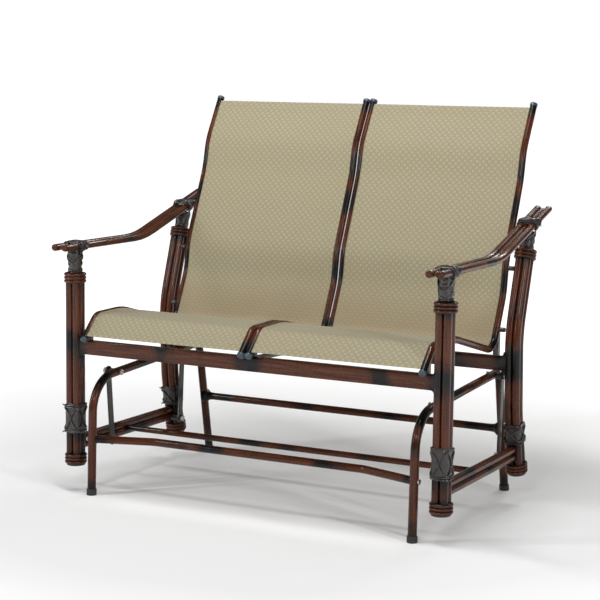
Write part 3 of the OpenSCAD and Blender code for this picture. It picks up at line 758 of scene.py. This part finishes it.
# The outline of a collar: three half rounds side by side over a sleeve, closed at both ends.
def collarProfile(radius, height, ring):
    turn = np.linspace(-75, 75, 9)
    points = [(0, 0), (radius - 3, 0), (radius - 0.6, 0.5)]
    for count in range(3):
        centre = ring + count * (height - 2 * ring) / 2
        points += [(radius + ring * math.cos(math.radians(t)), centre + ring * math.sin(math.radians(t)))
                   for t in turn]
    return points + [(radius - 0.6, height - 0.5), (radius - 3, height), (0, height)]


def postEnds(frontHeight, rearPlace):
    for side in sides:
        yield (side * postX, frontPostY, frontHeight), math.pi / 2
        yield (side * postX, *rearPlace[:2]), rearPlace[2]


def collars():
    sizes = postSizes
    radius = sizes["reedOffset"] * math.sqrt(2) + sizes["reed"] - 0.2
    profile = np.array(collarProfile(radius, sizes["collarHeight"], sizes["ring"]))
    # Painted shade and highlight: the collar darkens between its three rounds and lightens on their crests.
    burn = 0.35 + 0.3 * np.cos(profile[:, 1] * 2 * math.pi / 8.7)
    feet, tops = [], []
    rear = sizes["rear"]
    for place, lean in postEnds(postFootZ, (*rear[0], rearLean)):
        feet.append(lathePart(place, lean, profile, 56, burn))
    for place, lean in postEnds(frontPostTop, (*rear[-1], rearTopLean)):
        down = np.array([0, math.cos(lean), math.sin(lean)]) * sizes["collarHeight"]
        tops.append(lathePart(np.array(place) - down, lean, profile, 56, burn))
    makePiece("footCollars", feet, cane, ["foot_collars"])
    makePiece("topCollars", tops, cane, ["top_collars"])
    thick = sizes["plug"]
    disc = [
        (0, -thick), (radius - 2, -thick), (radius - 0.6, 0.7 - thick), (radius, 2 - thick),
        (radius, -0.1), (0, -0.1)]
    plugs = [lathePart(place, lean, disc, 48) for place, lean in postEnds(postFootZ, (*rear[0], rearLean))]
    makePiece("footPlugs", plugs, rubber, ["foot_plugs"])


def stretchers():
    sizes = postSizes
    profile = ovalOutline(sizes["reed"], sizes["reed"], 24)
    reach = sizes["stretcherEnd"]
    start, end = frontPostY + reach, rearPostY(stretcherZ) - reach
    for side, word in zip(sides, ("left", "right")):
        parts = []
        for level in sides:
            z = stretcherZ + level * sizes["reedOffset"]
            route = roundedRoute([(start, z), (end, z)], [0, 0])
            burn = burnAlong(route[2], (0, 210 - 70 * level, route[2][-1]), 34, 240, level, 0.3)
            parts.append(sweptPart(route, side * postX, profile, burn=burn))
        makePiece("sideStretcher." + word, parts, cane, ["side_stretcher_" + word])
    across = middle("middle_stretcher")
    low, high = span("middle_stretcher")
    radius = (high - low)[2] / 2
    route = roundedRoute([(-postX + 4, across[1]), (postX - 4, across[1])], [0, 0])
    burn = burnAlong(route[2], (0, 390, route[2][-1]), 50, 230, 0.3, 0.5)
    bar = levelBar(route, across[2], ovalOutline(radius, radius, 24), np.ones(len(burn)), burn)
    makePiece("middleStretcher", [bar], cane, ["middle_stretcher"])


print("posts")
posts()
collars()
stretchers()


# ---- seat rails ----

railSizes = {
    "corner": 3,
    "fillet": 11,
    "into": 7,
}


# A rounded box outline: quarter circles at the corners of a smaller box.
def boxOutline(halfU, halfV, corner, steps=5):
    turn = np.linspace(0, math.pi / 2, steps)
    arcs = []
    for u, v, start in ((1, 1, 0), (-1, 1, 90), (-1, -1, 180), (1, -1, 270)):
        angle = turn + math.radians(start)
        centre = np.array([u * (halfU - corner), v * (halfV - corner)])
        arcs.append(centre + corner * np.stack([np.cos(angle), np.sin(angle)], 1))
    return np.concatenate(arcs)


# A flat bar from post to post. Near each post its height grows as a quarter circle of weld.
def seatRails():
    sizes = railSizes
    for node, name in (("seat_front_rail", "frontSeatRail"), ("seat_rear_rail", "rearSeatRail")):
        low, high = span(node)
        centre = (low + high) / 2
        halfHeight = (high - low)[2] / 2 - 5
        halfDepth = (high - low)[1] / 2 - 2
        face = postX - postHalf
        x = np.concatenate([
            np.linspace(-face - sizes["into"], -face, 3)[:-1],
            -face + sizes["fillet"] * (1 - np.cos(np.linspace(0, math.pi / 2, 9))),
            np.linspace(sizes["fillet"] - face, face - sizes["fillet"], 81)[1:-1],
            face - sizes["fillet"] * (1 - np.cos(np.linspace(math.pi / 2, 0, 9))),
            np.linspace(face, face + sizes["into"], 3)[1:]])
        gap = np.clip(face - np.abs(x), 0, sizes["fillet"])
        extra = sizes["fillet"] - np.sqrt(sizes["fillet"] ** 2 - (sizes["fillet"] - gap) ** 2)
        outline = boxOutline(halfHeight, halfDepth, sizes["corner"])
        tall = outline[None, :, 0] + np.sign(outline[None, :, 0]) * extra[:, None]
        deep = outline[None, :, 1] + np.sign(outline[None, :, 1]) * 0.2 * extra[:, None]
        grid = np.stack([x[:, None] + 0 * tall, centre[1] + deep, centre[2] + tall], -1)
        distances = x - x[0]
        spots = (0, 250, distances[-1] / 2, distances[-1] - 150, distances[-1])
        burn = burnAlong(distances, spots, 36, 300, 1.0, 0.3)
        makePiece(name, [gridPart(grid, distances, burn)], cane, [node])


print("seat rails")
seatRails()


# ---- sling rails ----

slingRailSizes = {
    "radius": 9,
    "grooveLift": 3.6,
    "grooveWidth": 5,
    "grooveDepth": 5.5,
    "topSlope": 60,
    "topRun": 130,
    "plug": 9,
    "plugRadius": 9.8,
    "innerPlugRadius": 10.3,
}


def slingRailCorners():
    sizes = slingRailSizes
    slope = math.radians(sizes["topSlope"])
    top = np.array([
        objectHigh[1] - sizes["plug"] * math.cos(slope) - sizes["plugRadius"] * math.sin(slope),
        objectHigh[2] - sizes["plug"] * math.sin(slope) - sizes["plugRadius"] * math.cos(slope)])
    below = top - sizes["topRun"] * np.array([math.cos(slope), math.sin(slope)])
    return [(-322, 408), (-268, 463), (-152, 465), (115, 398), (180, 535), (192, 615), (280, 820),
            tuple(below), tuple(top)], [0, 35, 200, 45, 150, 150, 200, 150, 0]


railCorners, railBends = slingRailCorners()


# A circle with a groove of straight walls on the side that faces the sling.
def groovedOutline(towards, steps=32):
    sizes = slingRailSizes
    radius = sizes["radius"]
    low = sizes["grooveLift"] - sizes["grooveWidth"] / 2
    high = sizes["grooveLift"] + sizes["grooveWidth"] / 2
    turn = np.linspace(math.acos(low / radius), 2 * math.pi + math.acos(high / radius), steps)
    ring = radius * np.stack([np.cos(turn), np.sin(turn)], 1)
    bottom = radius - sizes["grooveDepth"]
    outline = np.concatenate([ring, [(high, bottom), (low, bottom)]])
    return outline * [1, towards]


def slingRails():
    route = roundedRoute(railCorners, railBends)
    total = route[2][-1]
    spots = (0, 470, 640, 830, total - 190, total)
    for node, x, towards in (("outer_left", -outerRailX, 1), ("inner_left", -innerRailX, -1),
                             ("inner_right", innerRailX, 1), ("outer_right", outerRailX, -1)):
        burn = burnAlong(route[2], spots, 44, 170, x, 0.45)
        part = sweptPart(route, x, groovedOutline(towards), burn=burn)
        name = "slingRail." + node.replace("_", ".")
        makePiece(name, [part], cane, ["sling_rail_" + node])


# A short cap with a rounded end: the last quarter turn of its profile is a soft corner.
def plugProfile(radius, length, corner=3.2):
    turn = np.linspace(0, math.pi / 2, 6)
    radii = radius - corner * (1 - np.cos(turn))
    heights = length - corner * (1 - np.sin(turn))
    return [(0, 0.1), (radius - 0.6, 0.1), (radius, 0.8), *zip(radii, heights), (0, length)]


def railPlugs():
    sizes = slingRailSizes
    start, second = railCorners[:2]
    before, end = railCorners[-2:]
    parts = []
    for x in (-outerRailX, -innerRailX, innerRailX, outerRailX):
        inner = min(sizes["innerPlugRadius"], abs(x) - 0.1)
        profile = plugProfile(sizes["plugRadius"] if abs(x) > postHalf else inner, sizes["plug"])
        parts.append(lathePart((x, *end), leanOf(before, end), profile, 32))
        parts.append(lathePart((x, *start), leanOf(second, start), profile, 32))
    makePiece("railPlugs", parts, slate, ["rail_end_plugs"])


print("sling rails")
slingRails()
railPlugs()


# ---- slings ----

slingSizes = {
    "thick": 1.3,
    "hemThick": 1.2,
    "hemWidth": 22,
    "pocket": 15,
    "intoGroove": 0.75,
    "trim": 6,
    "pull": 0.055,
    "smooth": 110,
    "mostSag": 0.9,
    "columns": 61,
    "creaseAt": 500,
    "creaseReach": 70,
    "stitch": 5.5,
    "stitchLength": 4.2,
    "stitchRadius": 0.45,
    "stitchInset": 12.5,
    "hemStitches": (4, 9),
}


# How far the middle of the taut cloth is pulled off the line between its rails: pull * curvature * W^2/8,
# with the route's curvature averaged over the smoothing length. The spreaders keep it from sinking more.
def clothPull(route, width):
    sizes = slingSizes
    headings, distances = route[1], route[2]
    even = np.linspace(distances[0], distances[-1], 600)
    heading = np.interp(even, distances, headings)
    step = even[1] - even[0]
    window = np.exp(-0.5 * (np.arange(-150, 151) * step / sizes["smooth"]) ** 2)
    padded = np.pad(heading, 150, mode="edge")
    smooth = np.convolve(padded, window / window.sum(), mode="valid")
    curvature = np.gradient(smooth, step)
    pull = np.interp(distances, even, curvature) * sizes["pull"] * width ** 2 / 8
    return np.maximum(pull, -sizes["mostSag"])


def slingRoute():
    corners = shortened(railCorners, slingSizes["trim"], slingSizes["trim"])
    return roundedRoute(corners, railBends, spacing=7, arcStep=math.radians(3))


# The cloth's surface: its two faces lie at lift + pull * (1 - u^2) plus and minus half its thickness,
# which grows in the end hems and in the pockets that hold the cords.
def slings():
    sizes = slingSizes
    lift = slingRailSizes["grooveLift"]
    half = (outerRailX - innerRailX) / 2 - slingRailSizes["radius"] + sizes["intoGroove"]
    route = slingRoute()
    places, headings, distances = route
    pull = clothPull(route, 2 * half)
    even = np.linspace(-1, 1, sizes["columns"])
    across = half * (0.35 * np.sin(even * math.pi / 2) + 0.65 * even)
    fromEnd = np.minimum(distances, distances[-1] - distances)[:, None]
    fromSide = (half - np.abs(across))[None, :]
    hem = 1 - smoothStep(fromEnd, sizes["hemWidth"], sizes["hemWidth"] + 1.5)
    pocket = 1 - smoothStep(fromSide, sizes["pocket"], sizes["pocket"] + 1.5)
    thick = (sizes["thick"] + sizes["hemThick"] * np.maximum(hem, pocket)) / 2
    middleLine = lift + pull[:, None] * (1 - (across / half) ** 2)[None, :]
    roundEdge = np.sqrt(np.clip(fromEnd / 1.0, 0.05, 1))
    upper, lower = middleLine + thick * roundEdge, middleLine - thick * roundEdge
    lifts = np.concatenate([upper, lower[:, ::-1]], 1)
    wide = np.concatenate([across, across[::-1]])
    # Painted shade: the cloth darkens towards tan in a soft band round the crease between seat and back.
    creaseShade = 0.8 * np.exp(-((distances - sizes["creaseAt"]) / sizes["creaseReach"]) ** 2)
    fromLeft = np.append(wide, across[0]) + half
    columns = np.tile(np.arange(len(wide)), len(distances) - 1)
    now, beside = fromLeft[columns], fromLeft[columns + 1]
    for side, word in zip(sides, ("left", "right")):
        x = side * slingMidX
        grid = np.stack([
            x + wide[None, :] + 0 * lifts,
            places[:, 0, None] - lifts * np.sin(headings)[:, None],
            places[:, 1, None] + lifts * np.cos(headings)[:, None]], -1)
        part = gridPart(grid, distances, creaseShade)
        part["quadUv"][:, :, 1] = np.stack([now, beside, beside, now], 1)
        piece = makePiece("sling." + word, [part], cloth, ["sling_" + word], sharp=60)
        seams = seamStitches(x, route, half, across, upper)
        body = nodeBody["sling_" + word]
        hemPiece = makePiece("slingStitches." + word, seams, thread, [], body)
        2 * half * metresPerMm
        distances[-1] * metresPerMm
    print("sling cut %.0f x %.0f mm, largest pull %.1f mm" % (2 * half, distances[-1], np.abs(pull).max()))


# Many small beads in one part: each is an oval of a few faces with its long axis along its own arrow.
def beadPart(centres, along, outward, length, radius):
    stations = np.array([-1.0, -0.6, 0.0, 0.6, 1.0])
    reach = np.array([0.35, 0.85, 1.0, 0.85, 0.35])
    c, s = aroundSteps(5)[1:]
    beside = np.cross(along, outward)
    spokes = c[:, None, None] * outward[None] + s[:, None, None] * beside[None]
    n, m, k = len(centres), len(stations), len(c)
    points = (centres[:, None, None] + along[:, None, None] * stations[None, :, None, None] * length / 2
              + spokes.transpose(1, 0, 2)[:, None] * (reach * radius)[None, :, None, None])
    ends = np.array([[0, 4, 3], [0, 3, 2], [0, 2, 1]])
    far = ends[:, ::-1] + (m - 1) * k
    shift = (np.arange(n) * m * k)[:, None, None]
    quads = (gridQuads(m, k)[None] + shift).reshape(-1, 4)
    tris = (np.concatenate([ends, far])[None] + shift).reshape(-1, 3)
    return {"points": points.reshape(-1, 3), "quads": quads, "tris": tris,
            "quadUv": np.zeros((len(quads), 4, 2)), "triUv": np.zeros((len(tris), 3, 2)),
            "burn": np.zeros(n * m * k)}


# Rows of stitches on the upper face: one along each side pocket, and two along each end hem.
def seamStitches(x, route, half, across, upper):
    sizes = slingSizes
    places, headings, distances = route
    reach = half - sizes["stitchInset"]
    hem, total = sizes["hemWidth"], distances[-1]
    rows = []
    s = np.linspace(hem - 3, total - hem + 3, int((total - 2 * hem) / sizes["stitch"]))
    a = np.interp(s, distances, headings)
    for edge in sides:
        column = int(round(np.interp(edge * reach, across, np.arange(len(across)))))
        height = np.interp(s, distances, upper[:, column])
        rows.append((np.full(len(s), edge * reach), s, a, height, [0 * a, np.cos(a), np.sin(a)]))
    xs = np.linspace(-reach, reach, int(2 * reach / sizes["stitch"]))
    level = 0 * xs
    for inward in sizes["hemStitches"]:
        for s in (hem - inward, total - hem + inward):
            row = int(np.argmin(np.abs(distances - s)))
            height = np.interp(xs, across, upper[row])
            rows.append((xs, s + level, headings[row] + level, height, [1 + level, level, level]))
    parts = []
    for u, s, a, height, ahead in rows:
        normal = np.column_stack([0 * a, -np.sin(a), np.cos(a)])
        centres = np.column_stack([
            x + u, np.interp(s, distances, places[:, 0]), np.interp(s, distances, places[:, 1])])
        centres += normal * (height + 0.1)[:, None]
        parts.append(beadPart(
            centres, np.column_stack(ahead), normal, sizes["stitchLength"], sizes["stitchRadius"]))
    return parts


print("slings")
slings()
for word in ("left", "right"):
    paintNode("sling_splines_" + word, thread)


# ---- arms ----

armSizes = {
    "reed": 9,
    "thin": 6,
    "pitch": 15.2,
    "level": 643,
    "bendY": 0,
    "rearY": 338,
    "rise": 17,
    "bend": 300,
    "thinSetback": 6,
}


def armHeight(y):
    return armSizes["level"] + max(y - armSizes["bendY"], 0) * math.tan(math.radians(armSizes["rise"]))


def arms():
    sizes = armSizes
    corners = [(objectLow[1] + sizes["reed"], sizes["level"]), (sizes["bendY"], sizes["level"]),
               (sizes["rearY"], armHeight(sizes["rearY"]))]
    for side, word in zip(sides, ("left", "right")):
        parts = []
        for place in (-1, 0, 1):
            offset = place * sizes["pitch"]
            radius, cut = (sizes["reed"], 0) if place else (sizes["thin"], sizes["thinSetback"])
            route = roundedRoute(shortened(corners, cut, cut), [0, sizes["bend"], 0])
            route, scale = domedRoute(route, radius)
            burn = burnAlong(route[2], (70, 290, route[2][-1] - 110), 34, 165, offset * 0.1, 0.38)
            profile = ovalOutline(radius, radius, 24)
            parts.append(sweptPart(route, side * postX + offset, profile, scale, burn))
        makePiece("arm." + word, parts, cane, ["arm_" + word])


bindSizes = {
    "neck": 15.6,
    "strapWide": 3.0,
    "strapThick": 1.1,
    "cord": 2.1,
    "bandLength": 32,
    "yokeSlant": 36,
    "yokeMean": 21.0,
    "yokeGain": 12.6,
    "yokeLeast": 19.3,
    "yokeLength": 33,
    "frontShift": 7,
    "rearShift": 16,
    "yokeDrop": 15,
}


# A frame is a piece's own axis and the two directions across it.
# A closed loop round a post or an arm: a rounded box of the given half widths, raised and lowered
# by tilt * sin(waves * turn + phase).
def loopPart(origin, ownFrame, halves, power, tilt, waves, outline, phase=0.0):
    axis, first, second = ownFrame
    turn, c, s = aroundSteps(64)
    reach = squareReach(c, s, power)
    out = np.outer(halves[0] * c * reach, first) + np.outer(halves[1] * s * reach, second)
    points = origin + out + np.outer(tilt * np.sin(waves * turn + phase), axis)
    arrows = np.outer(c, first) + np.outer(s, second)
    return cordPart(points, arrows, outline, ring=True)


# A loose strap end: a short tapering stretch that leaves the surface at a slant.
def strapEnd(start, direction, outward, outline, length=13):
    share = np.linspace(0, 1, 8)
    direction = direction / np.linalg.norm(direction)
    outward = outward / np.linalg.norm(outward)
    bow = np.outer(1.6 * np.sin(share * math.pi * 0.8), outward)
    points = start + np.outer(share * length, direction) + bow
    taper = np.where(share < 0.9, 1 - 0.35 * share, 0.3)
    return cordPart(points, np.tile(outward, (8, 1)), outline, taper=taper)


def leanFrame(lean):
    axis = np.array([0, math.cos(lean), math.sin(lean)])
    return axis, np.array([1.0, 0, 0]), np.array([0, -math.sin(lean), math.cos(lean)])


# A soft sleeve along a frame's axis from a place: the outline times the swell at each level.
def sleevePart(place, ownFrame, heights, outline, swell):
    axis, first, second = ownFrame
    around = outline[:, :1] * first + outline[:, 1:] * second
    grid = (place + np.outer(heights, axis))[:, None] + around[None] * swell[:, None, None]
    return gridPart(grid, heights - heights[0])


# A wound neck: a waisted core under slanting straps that cross on each side.
def neckParts(place, lean, height, mirror):
    sizes = bindSizes
    ownFrame = leanFrame(lean)
    place, axis = np.array(place), ownFrame[0]
    levels = np.linspace(0, 1, 15)
    waist = sizes["neck"] + 1.8 * np.sin(levels * math.pi) + 0.5 * np.sin(levels * math.pi * 9)
    wall = [(radius, 0.2 + level * (height - 0.4)) for radius, level in zip(waist, levels)]
    parts = [lathePart(place, lean, [(0, 0.2)] + wall + [(0, height - 0.2)], 40)]
    strap = ovalOutline(sizes["strapThick"], sizes["strapWide"], 10, 3)
    for way in sides:
        for shift in (-6, 6):
            reach = sizes["neck"] + 2.3 + 0.5 * way
            parts.append(loopPart(
                place + axis * height * 0.5 + axis * shift, ownFrame, (reach, reach), 2,
                way * height * 0.27, 1, strap, phase=0.5 * mirror + shift * 0.05))
    cord = ovalOutline(sizes["cord"], sizes["cord"], 8)
    reach = sizes["neck"] + 1.4
    for level in (0.05, 0.13, 0.9):
        parts.append(loopPart(
            place + axis * height * level, ownFrame, (reach, reach), 2, 1.2 * mirror, 1, cord))
    return parts


# The binding of an arm: a soft band, cords side by side round the three reeds, and two straps that
# run slanting from over the arm to under the neck.
def bandParts(centre, lean, mirror):
    sizes = bindSizes
    ownFrame = leanFrame(lean)
    axis, first, second = ownFrame
    halves = np.array([armSizes["pitch"] + armSizes["reed"] + 1.0, armSizes["reed"] + 1.0])
    length = sizes["bandLength"]
    levels = np.linspace(-0.5, 0.5, 13)
    swell = 1 - 0.55 * np.abs(2 * levels) ** 8
    parts = [sleevePart(centre, ownFrame, levels * length, ovalOutline(*halves, 44, 3.2), swell)]
    cord = ovalOutline(sizes["cord"], sizes["cord"], 8)
    for count, level in enumerate(np.linspace(-0.42, 0.42, 6)):
        parts.append(loopPart(
            centre + axis * level * length, ownFrame, halves + 1.4, 3.0,
            mirror * (1.6 - 0.9 * (count % 3)), 1, cord, phase=count * 0.9))
    strap = ovalOutline(sizes["strapThick"], sizes["strapWide"], 10, 3)
    for way in sides:
        parts.append(loopPart(
            centre + axis * 2 * way, ownFrame, halves + 3.2, 3.0, way * length * 0.36, 2, strap,
            phase=math.pi / 4))
    for way in sides:
        start = centre + way * first * (halves[0] + 2.5) - axis * 6 * mirror + second * 2
        parts.append(strapEnd(start, 0.35 * way * first - 0.75 * axis - 0.6 * second, way * first, strap))
    return parts


# Two straps that cross on both sides: each goes over the arm on one side of the neck and under its
# other side. In a leaning plane, x = max(mean + gain * sin t, least) * cos t, and the long way is
# length * sin t.
def yokeParts(centre, lean):
    sizes = bindSizes
    strap = ovalOutline(sizes["strapThick"], sizes["strapWide"] * 0.9, 10, 3)
    c, s = aroundSteps(72)[1:]
    reach = squareReach(c, s, 2.5 + 0.7 * s)
    wide = np.maximum(sizes["yokeMean"] + sizes["yokeGain"] * s, sizes["yokeLeast"]) * c * reach
    parts = []
    for slant in sides:
        tilt = lean - slant * math.radians(sizes["yokeSlant"])
        along = np.array([0, math.cos(tilt), math.sin(tilt)])
        points = centre + np.outer(wide, [1.0, 0, 0]) + np.outer(sizes["yokeLength"] * s * reach, along)
        parts.append(cordPart(points, points - centre, strap, ring=True))
    return parts


def bindings():
    sizes = bindSizes
    rear = postSizes["rear"][-1]
    level, upright = armSizes["level"], math.pi / 2
    frontHeight = level - armSizes["reed"] - 3 - frontPostTop + 2
    rearHeight = (span("arm_necks")[1][2] - rear[1]) / math.sin(rearTopLean) - 3
    rearY = rear[0] + sizes["rearShift"]
    necks, bands = [], []
    for side in sides:
        x = side * postX
        necks += neckParts((x, frontPostY, frontPostTop), upright, frontHeight, side)
        necks += neckParts((x, *rear), rearTopLean, rearHeight, -side)
        bands += bandParts(np.array([x, frontPostY + sizes["frontShift"], level]), 0.0, side)
        bands += yokeParts(np.array([x, frontPostY, level - sizes["yokeDrop"]]), upright)
        rearCentre = np.array([x, rearY, armHeight(rearY)])
        bands += bandParts(rearCentre, math.radians(armSizes["rise"]), -side)
        bands += yokeParts(rearCentre - [0, 3, sizes["yokeDrop"]], 0.4 * upright + 0.6 * rearTopLean)
    makePiece("armNecks", necks, leather, ["arm_necks"])
    makePiece("armBands", bands, leather, ["arm_wraps"])


lashSizes = {
    "frontHeight": 78,
    "rearHeight": 54,
    "lift": 7,
    "half": 22.4,
    "cord": 2.0,
}


# A lashing on a post: a soft sleeve, doubled cords at its ends and two cords that cross on every side.
def lashingParts(place, lean, height, mirror):
    sizes = lashSizes
    ownFrame = leanFrame(lean)
    axis, first, second = ownFrame
    place = np.array(place)
    levels = np.linspace(0, 1, 21)
    swell = 1 - 0.10 * np.abs(2 * levels - 1) ** 10 + 0.006 * np.sin(levels * 40)
    outline = ovalOutline(sizes["half"], sizes["half"], 48, 4)
    parts = [sleevePart(place, ownFrame, levels * height, outline, swell)]
    cord = ovalOutline(sizes["cord"], sizes["cord"], 8)
    reach = sizes["half"] + 1.2
    for level in (4, 8.2, height - 8.2, height - 4):
        parts.append(loopPart(
            place + axis * level, ownFrame, (reach, reach), 4, 1.3 * mirror, 1, cord, phase=level))
    for way in sides:
        parts.append(loopPart(
            place + axis * height / 2, ownFrame, (reach + 0.5, reach + 0.5), 4,
            way * (height / 2 - 12), 2, cord))
    corner = 0.75 * (first * mirror + second)
    for level, way in ((height - 6, 1), (6, -1)):
        start = place + axis * level + corner * reach * 1.08
        parts.append(strapEnd(start, corner + axis * 0.7 * way, corner, cord, length=8))
    return parts


def lashings():
    sizes = lashSizes
    foot = stretcherZ + postHalf + sizes["lift"]
    parts = []
    for side in sides:
        parts += lashingParts((side * postX, frontPostY, foot), math.pi / 2, sizes["frontHeight"], side)
        parts += lashingParts((side * postX, rearPostY(foot), foot), rearLean, sizes["rearHeight"], side)
    makePiece("postLashings", parts, leather, ["post_lashings"])


print("arms and bindings")
arms()
bindings()
lashings()


# ---- machined parts ----

print("machined parts")
corners = ("front_left", "front_right", "rear_left", "rear_right")
for corner in corners:
    roundedCopy("hanger_" + corner, "hanger." + corner.replace("_", "."), metal, "dark_metal", 1.0)
    paintNode("bushings_" + corner, nylon)
machined = {
    "centre_support": ("centreSupport", metal, "dark_metal", 1.2),
    "rail_saddles": ("railSaddles", metal, "dark_metal", 0.9),
    "rail_spacers": ("railSpacers", metal, "dark_metal", 0.6),
    "sling_spreaders": ("slingSpreaders", metal, "dark_metal", 0.5),
    "upper_pivot_nuts": ("pivotNuts", steel, "steel", 0.5),
    "upper_pivot_bolts": ("upperPivotBolts", steel, "steel", 0.5),
    "lower_pivot_bolts": ("lowerPivotBolts", steel, "steel", 0.5),
    "crossbar_bolts": ("crossbarBolts", steel, "steel", 0.4),
}
for node, looks in machined.items():
    roundedCopy(node, *looks)
for node in ("spacer_studs", "arm_spigots"):
    paintNode(node, steel)


# ---- stage ----

stageLooks = {
    "floorSize": 60.0,
    "floor": shade(0.80, 0.80, 0.80),
    "nearGlow": shade(0.12, 0.12, 0.12),
    "farGlow": shade(1, 1, 1),
    "skyStrength": 1.0,       # what the camera sees behind the object
    "roomStrength": 0.15,     # the light that the room gives
    "fadeFrom": 0.9,
    "fadeTo": 3.2,
}


# A pale floor that glows up to white away from the object, and a white room.
def buildStage():
    looks = stageLooks
    half = looks["floorSize"] / 2
    corners = [(-half, -half, 0), (half, -half, 0), (half, half, 0), (-half, half, 0)]
    mesh = bpy.data.meshes.new("floor")
    mesh.from_pydata(corners, [], [(0, 1, 2, 3)])
    finish = Finish("paleFloor")
    place = finish.objectPlace()
    distance = finish.node("ShaderNodeVectorMath", {"operation": "LENGTH"}, {0: place}, output=1)
    fade = ((distance - looks["fadeFrom"]) * (1 / (looks["fadeTo"] - looks["fadeFrom"]))).clamped()
    glow = finish.blend(fade, looks["nearGlow"], looks["farGlow"])
    mesh.materials.append(finish.set(colour=looks["floor"], roughness=0.9, glow=glow, glowStrength=1.0))
    placeObject("floor", mesh)
    world = bpy.data.worlds.new("studio")
    world.use_nodes = True
    tree = world.node_tree
    rays = tree.nodes.new("ShaderNodeLightPath")
    strength = tree.nodes.new("ShaderNodeMapRange")
    strength.inputs["To Min"].default_value = looks["roomStrength"]
    strength.inputs["To Max"].default_value = looks["skyStrength"]
    tree.links.new(rays.outputs["Is Camera Ray"], strength.inputs["Value"])
    tree.links.new(strength.outputs["Result"], tree.nodes["Background"].inputs["Strength"])
    tree.nodes["Background"].inputs["Color"].default_value = shade(1, 1, 1)
    bpy.context.scene.world = world


lamps = {
    "topSoftbox": {"place": (-0.3, -0.6, 3.2), "aim": (0, 0, 0.6), "size": (2.0, 0.25), "power": 50},
    "leftStrip": {"place": (-2.4, -2.4, 1.9), "aim": (0, 0, 0.6), "size": (0.13, 2.0), "power": 34},
    "rightStrip": {"place": (3.0, -1.4, 1.8), "aim": (0.2, 0, 0.6), "size": (0.1, 2.0), "power": 28},
    "frontFill": {"place": (1.2, -4.4, 2.8), "aim": (0, 0, 0.5), "size": (0.9, 0.6), "power": 42},
    "rearSoftbox": {"place": (0.4, 2.8, 2.6), "aim": (0, 0, 0.7), "size": (2.0, 0.25), "power": 34},
}


def buildLamps():
    for name, lamp in lamps.items():
        light = bpy.data.lights.new(name, "AREA")
        light.shape = "RECTANGLE"
        light.size, light.size_y = lamp["size"]
        light.energy = lamp["power"]
        holder = placeObject(name, light)
        holder.location = lamp["place"]
        aim = Vector(lamp["aim"]) - Vector(lamp["place"])
        holder.rotation_euler = aim.to_track_quat("-Z", "Y").to_euler()


cameraView = {
    "place": (2.0644, -3.9826, 1.1022),
    "turn": 27.62,
    "down": 7.57,
    "roll": 0.72,
    "lens": 104.6,
    "sensor": 36.0,
}


def buildCamera():
    turn, down, roll = (math.radians(cameraView[key]) for key in ("turn", "down", "roll"))
    ahead = Vector((-math.sin(turn) * math.cos(down), math.cos(turn) * math.cos(down), -math.sin(down)))
    level = Vector((math.cos(turn), math.sin(turn), 0))
    upward = level.cross(ahead)
    right = math.cos(roll) * level + math.sin(roll) * upward
    up = -math.sin(roll) * level + math.cos(roll) * upward
    lens = bpy.data.cameras.new("view")
    lens.lens, lens.sensor_width = cameraView["lens"], cameraView["sensor"]
    camera = placeObject("view", lens)
    turned = Matrix((right, up, -ahead)).transposed().to_4x4()
    camera.matrix_world = Matrix.Translation(cameraView["place"]) @ turned
    bpy.context.scene.camera = camera


print("stage, lamps and camera")
buildStage()
buildLamps()
buildCamera()
bpy.context.scene.view_settings.view_transform = "Standard"
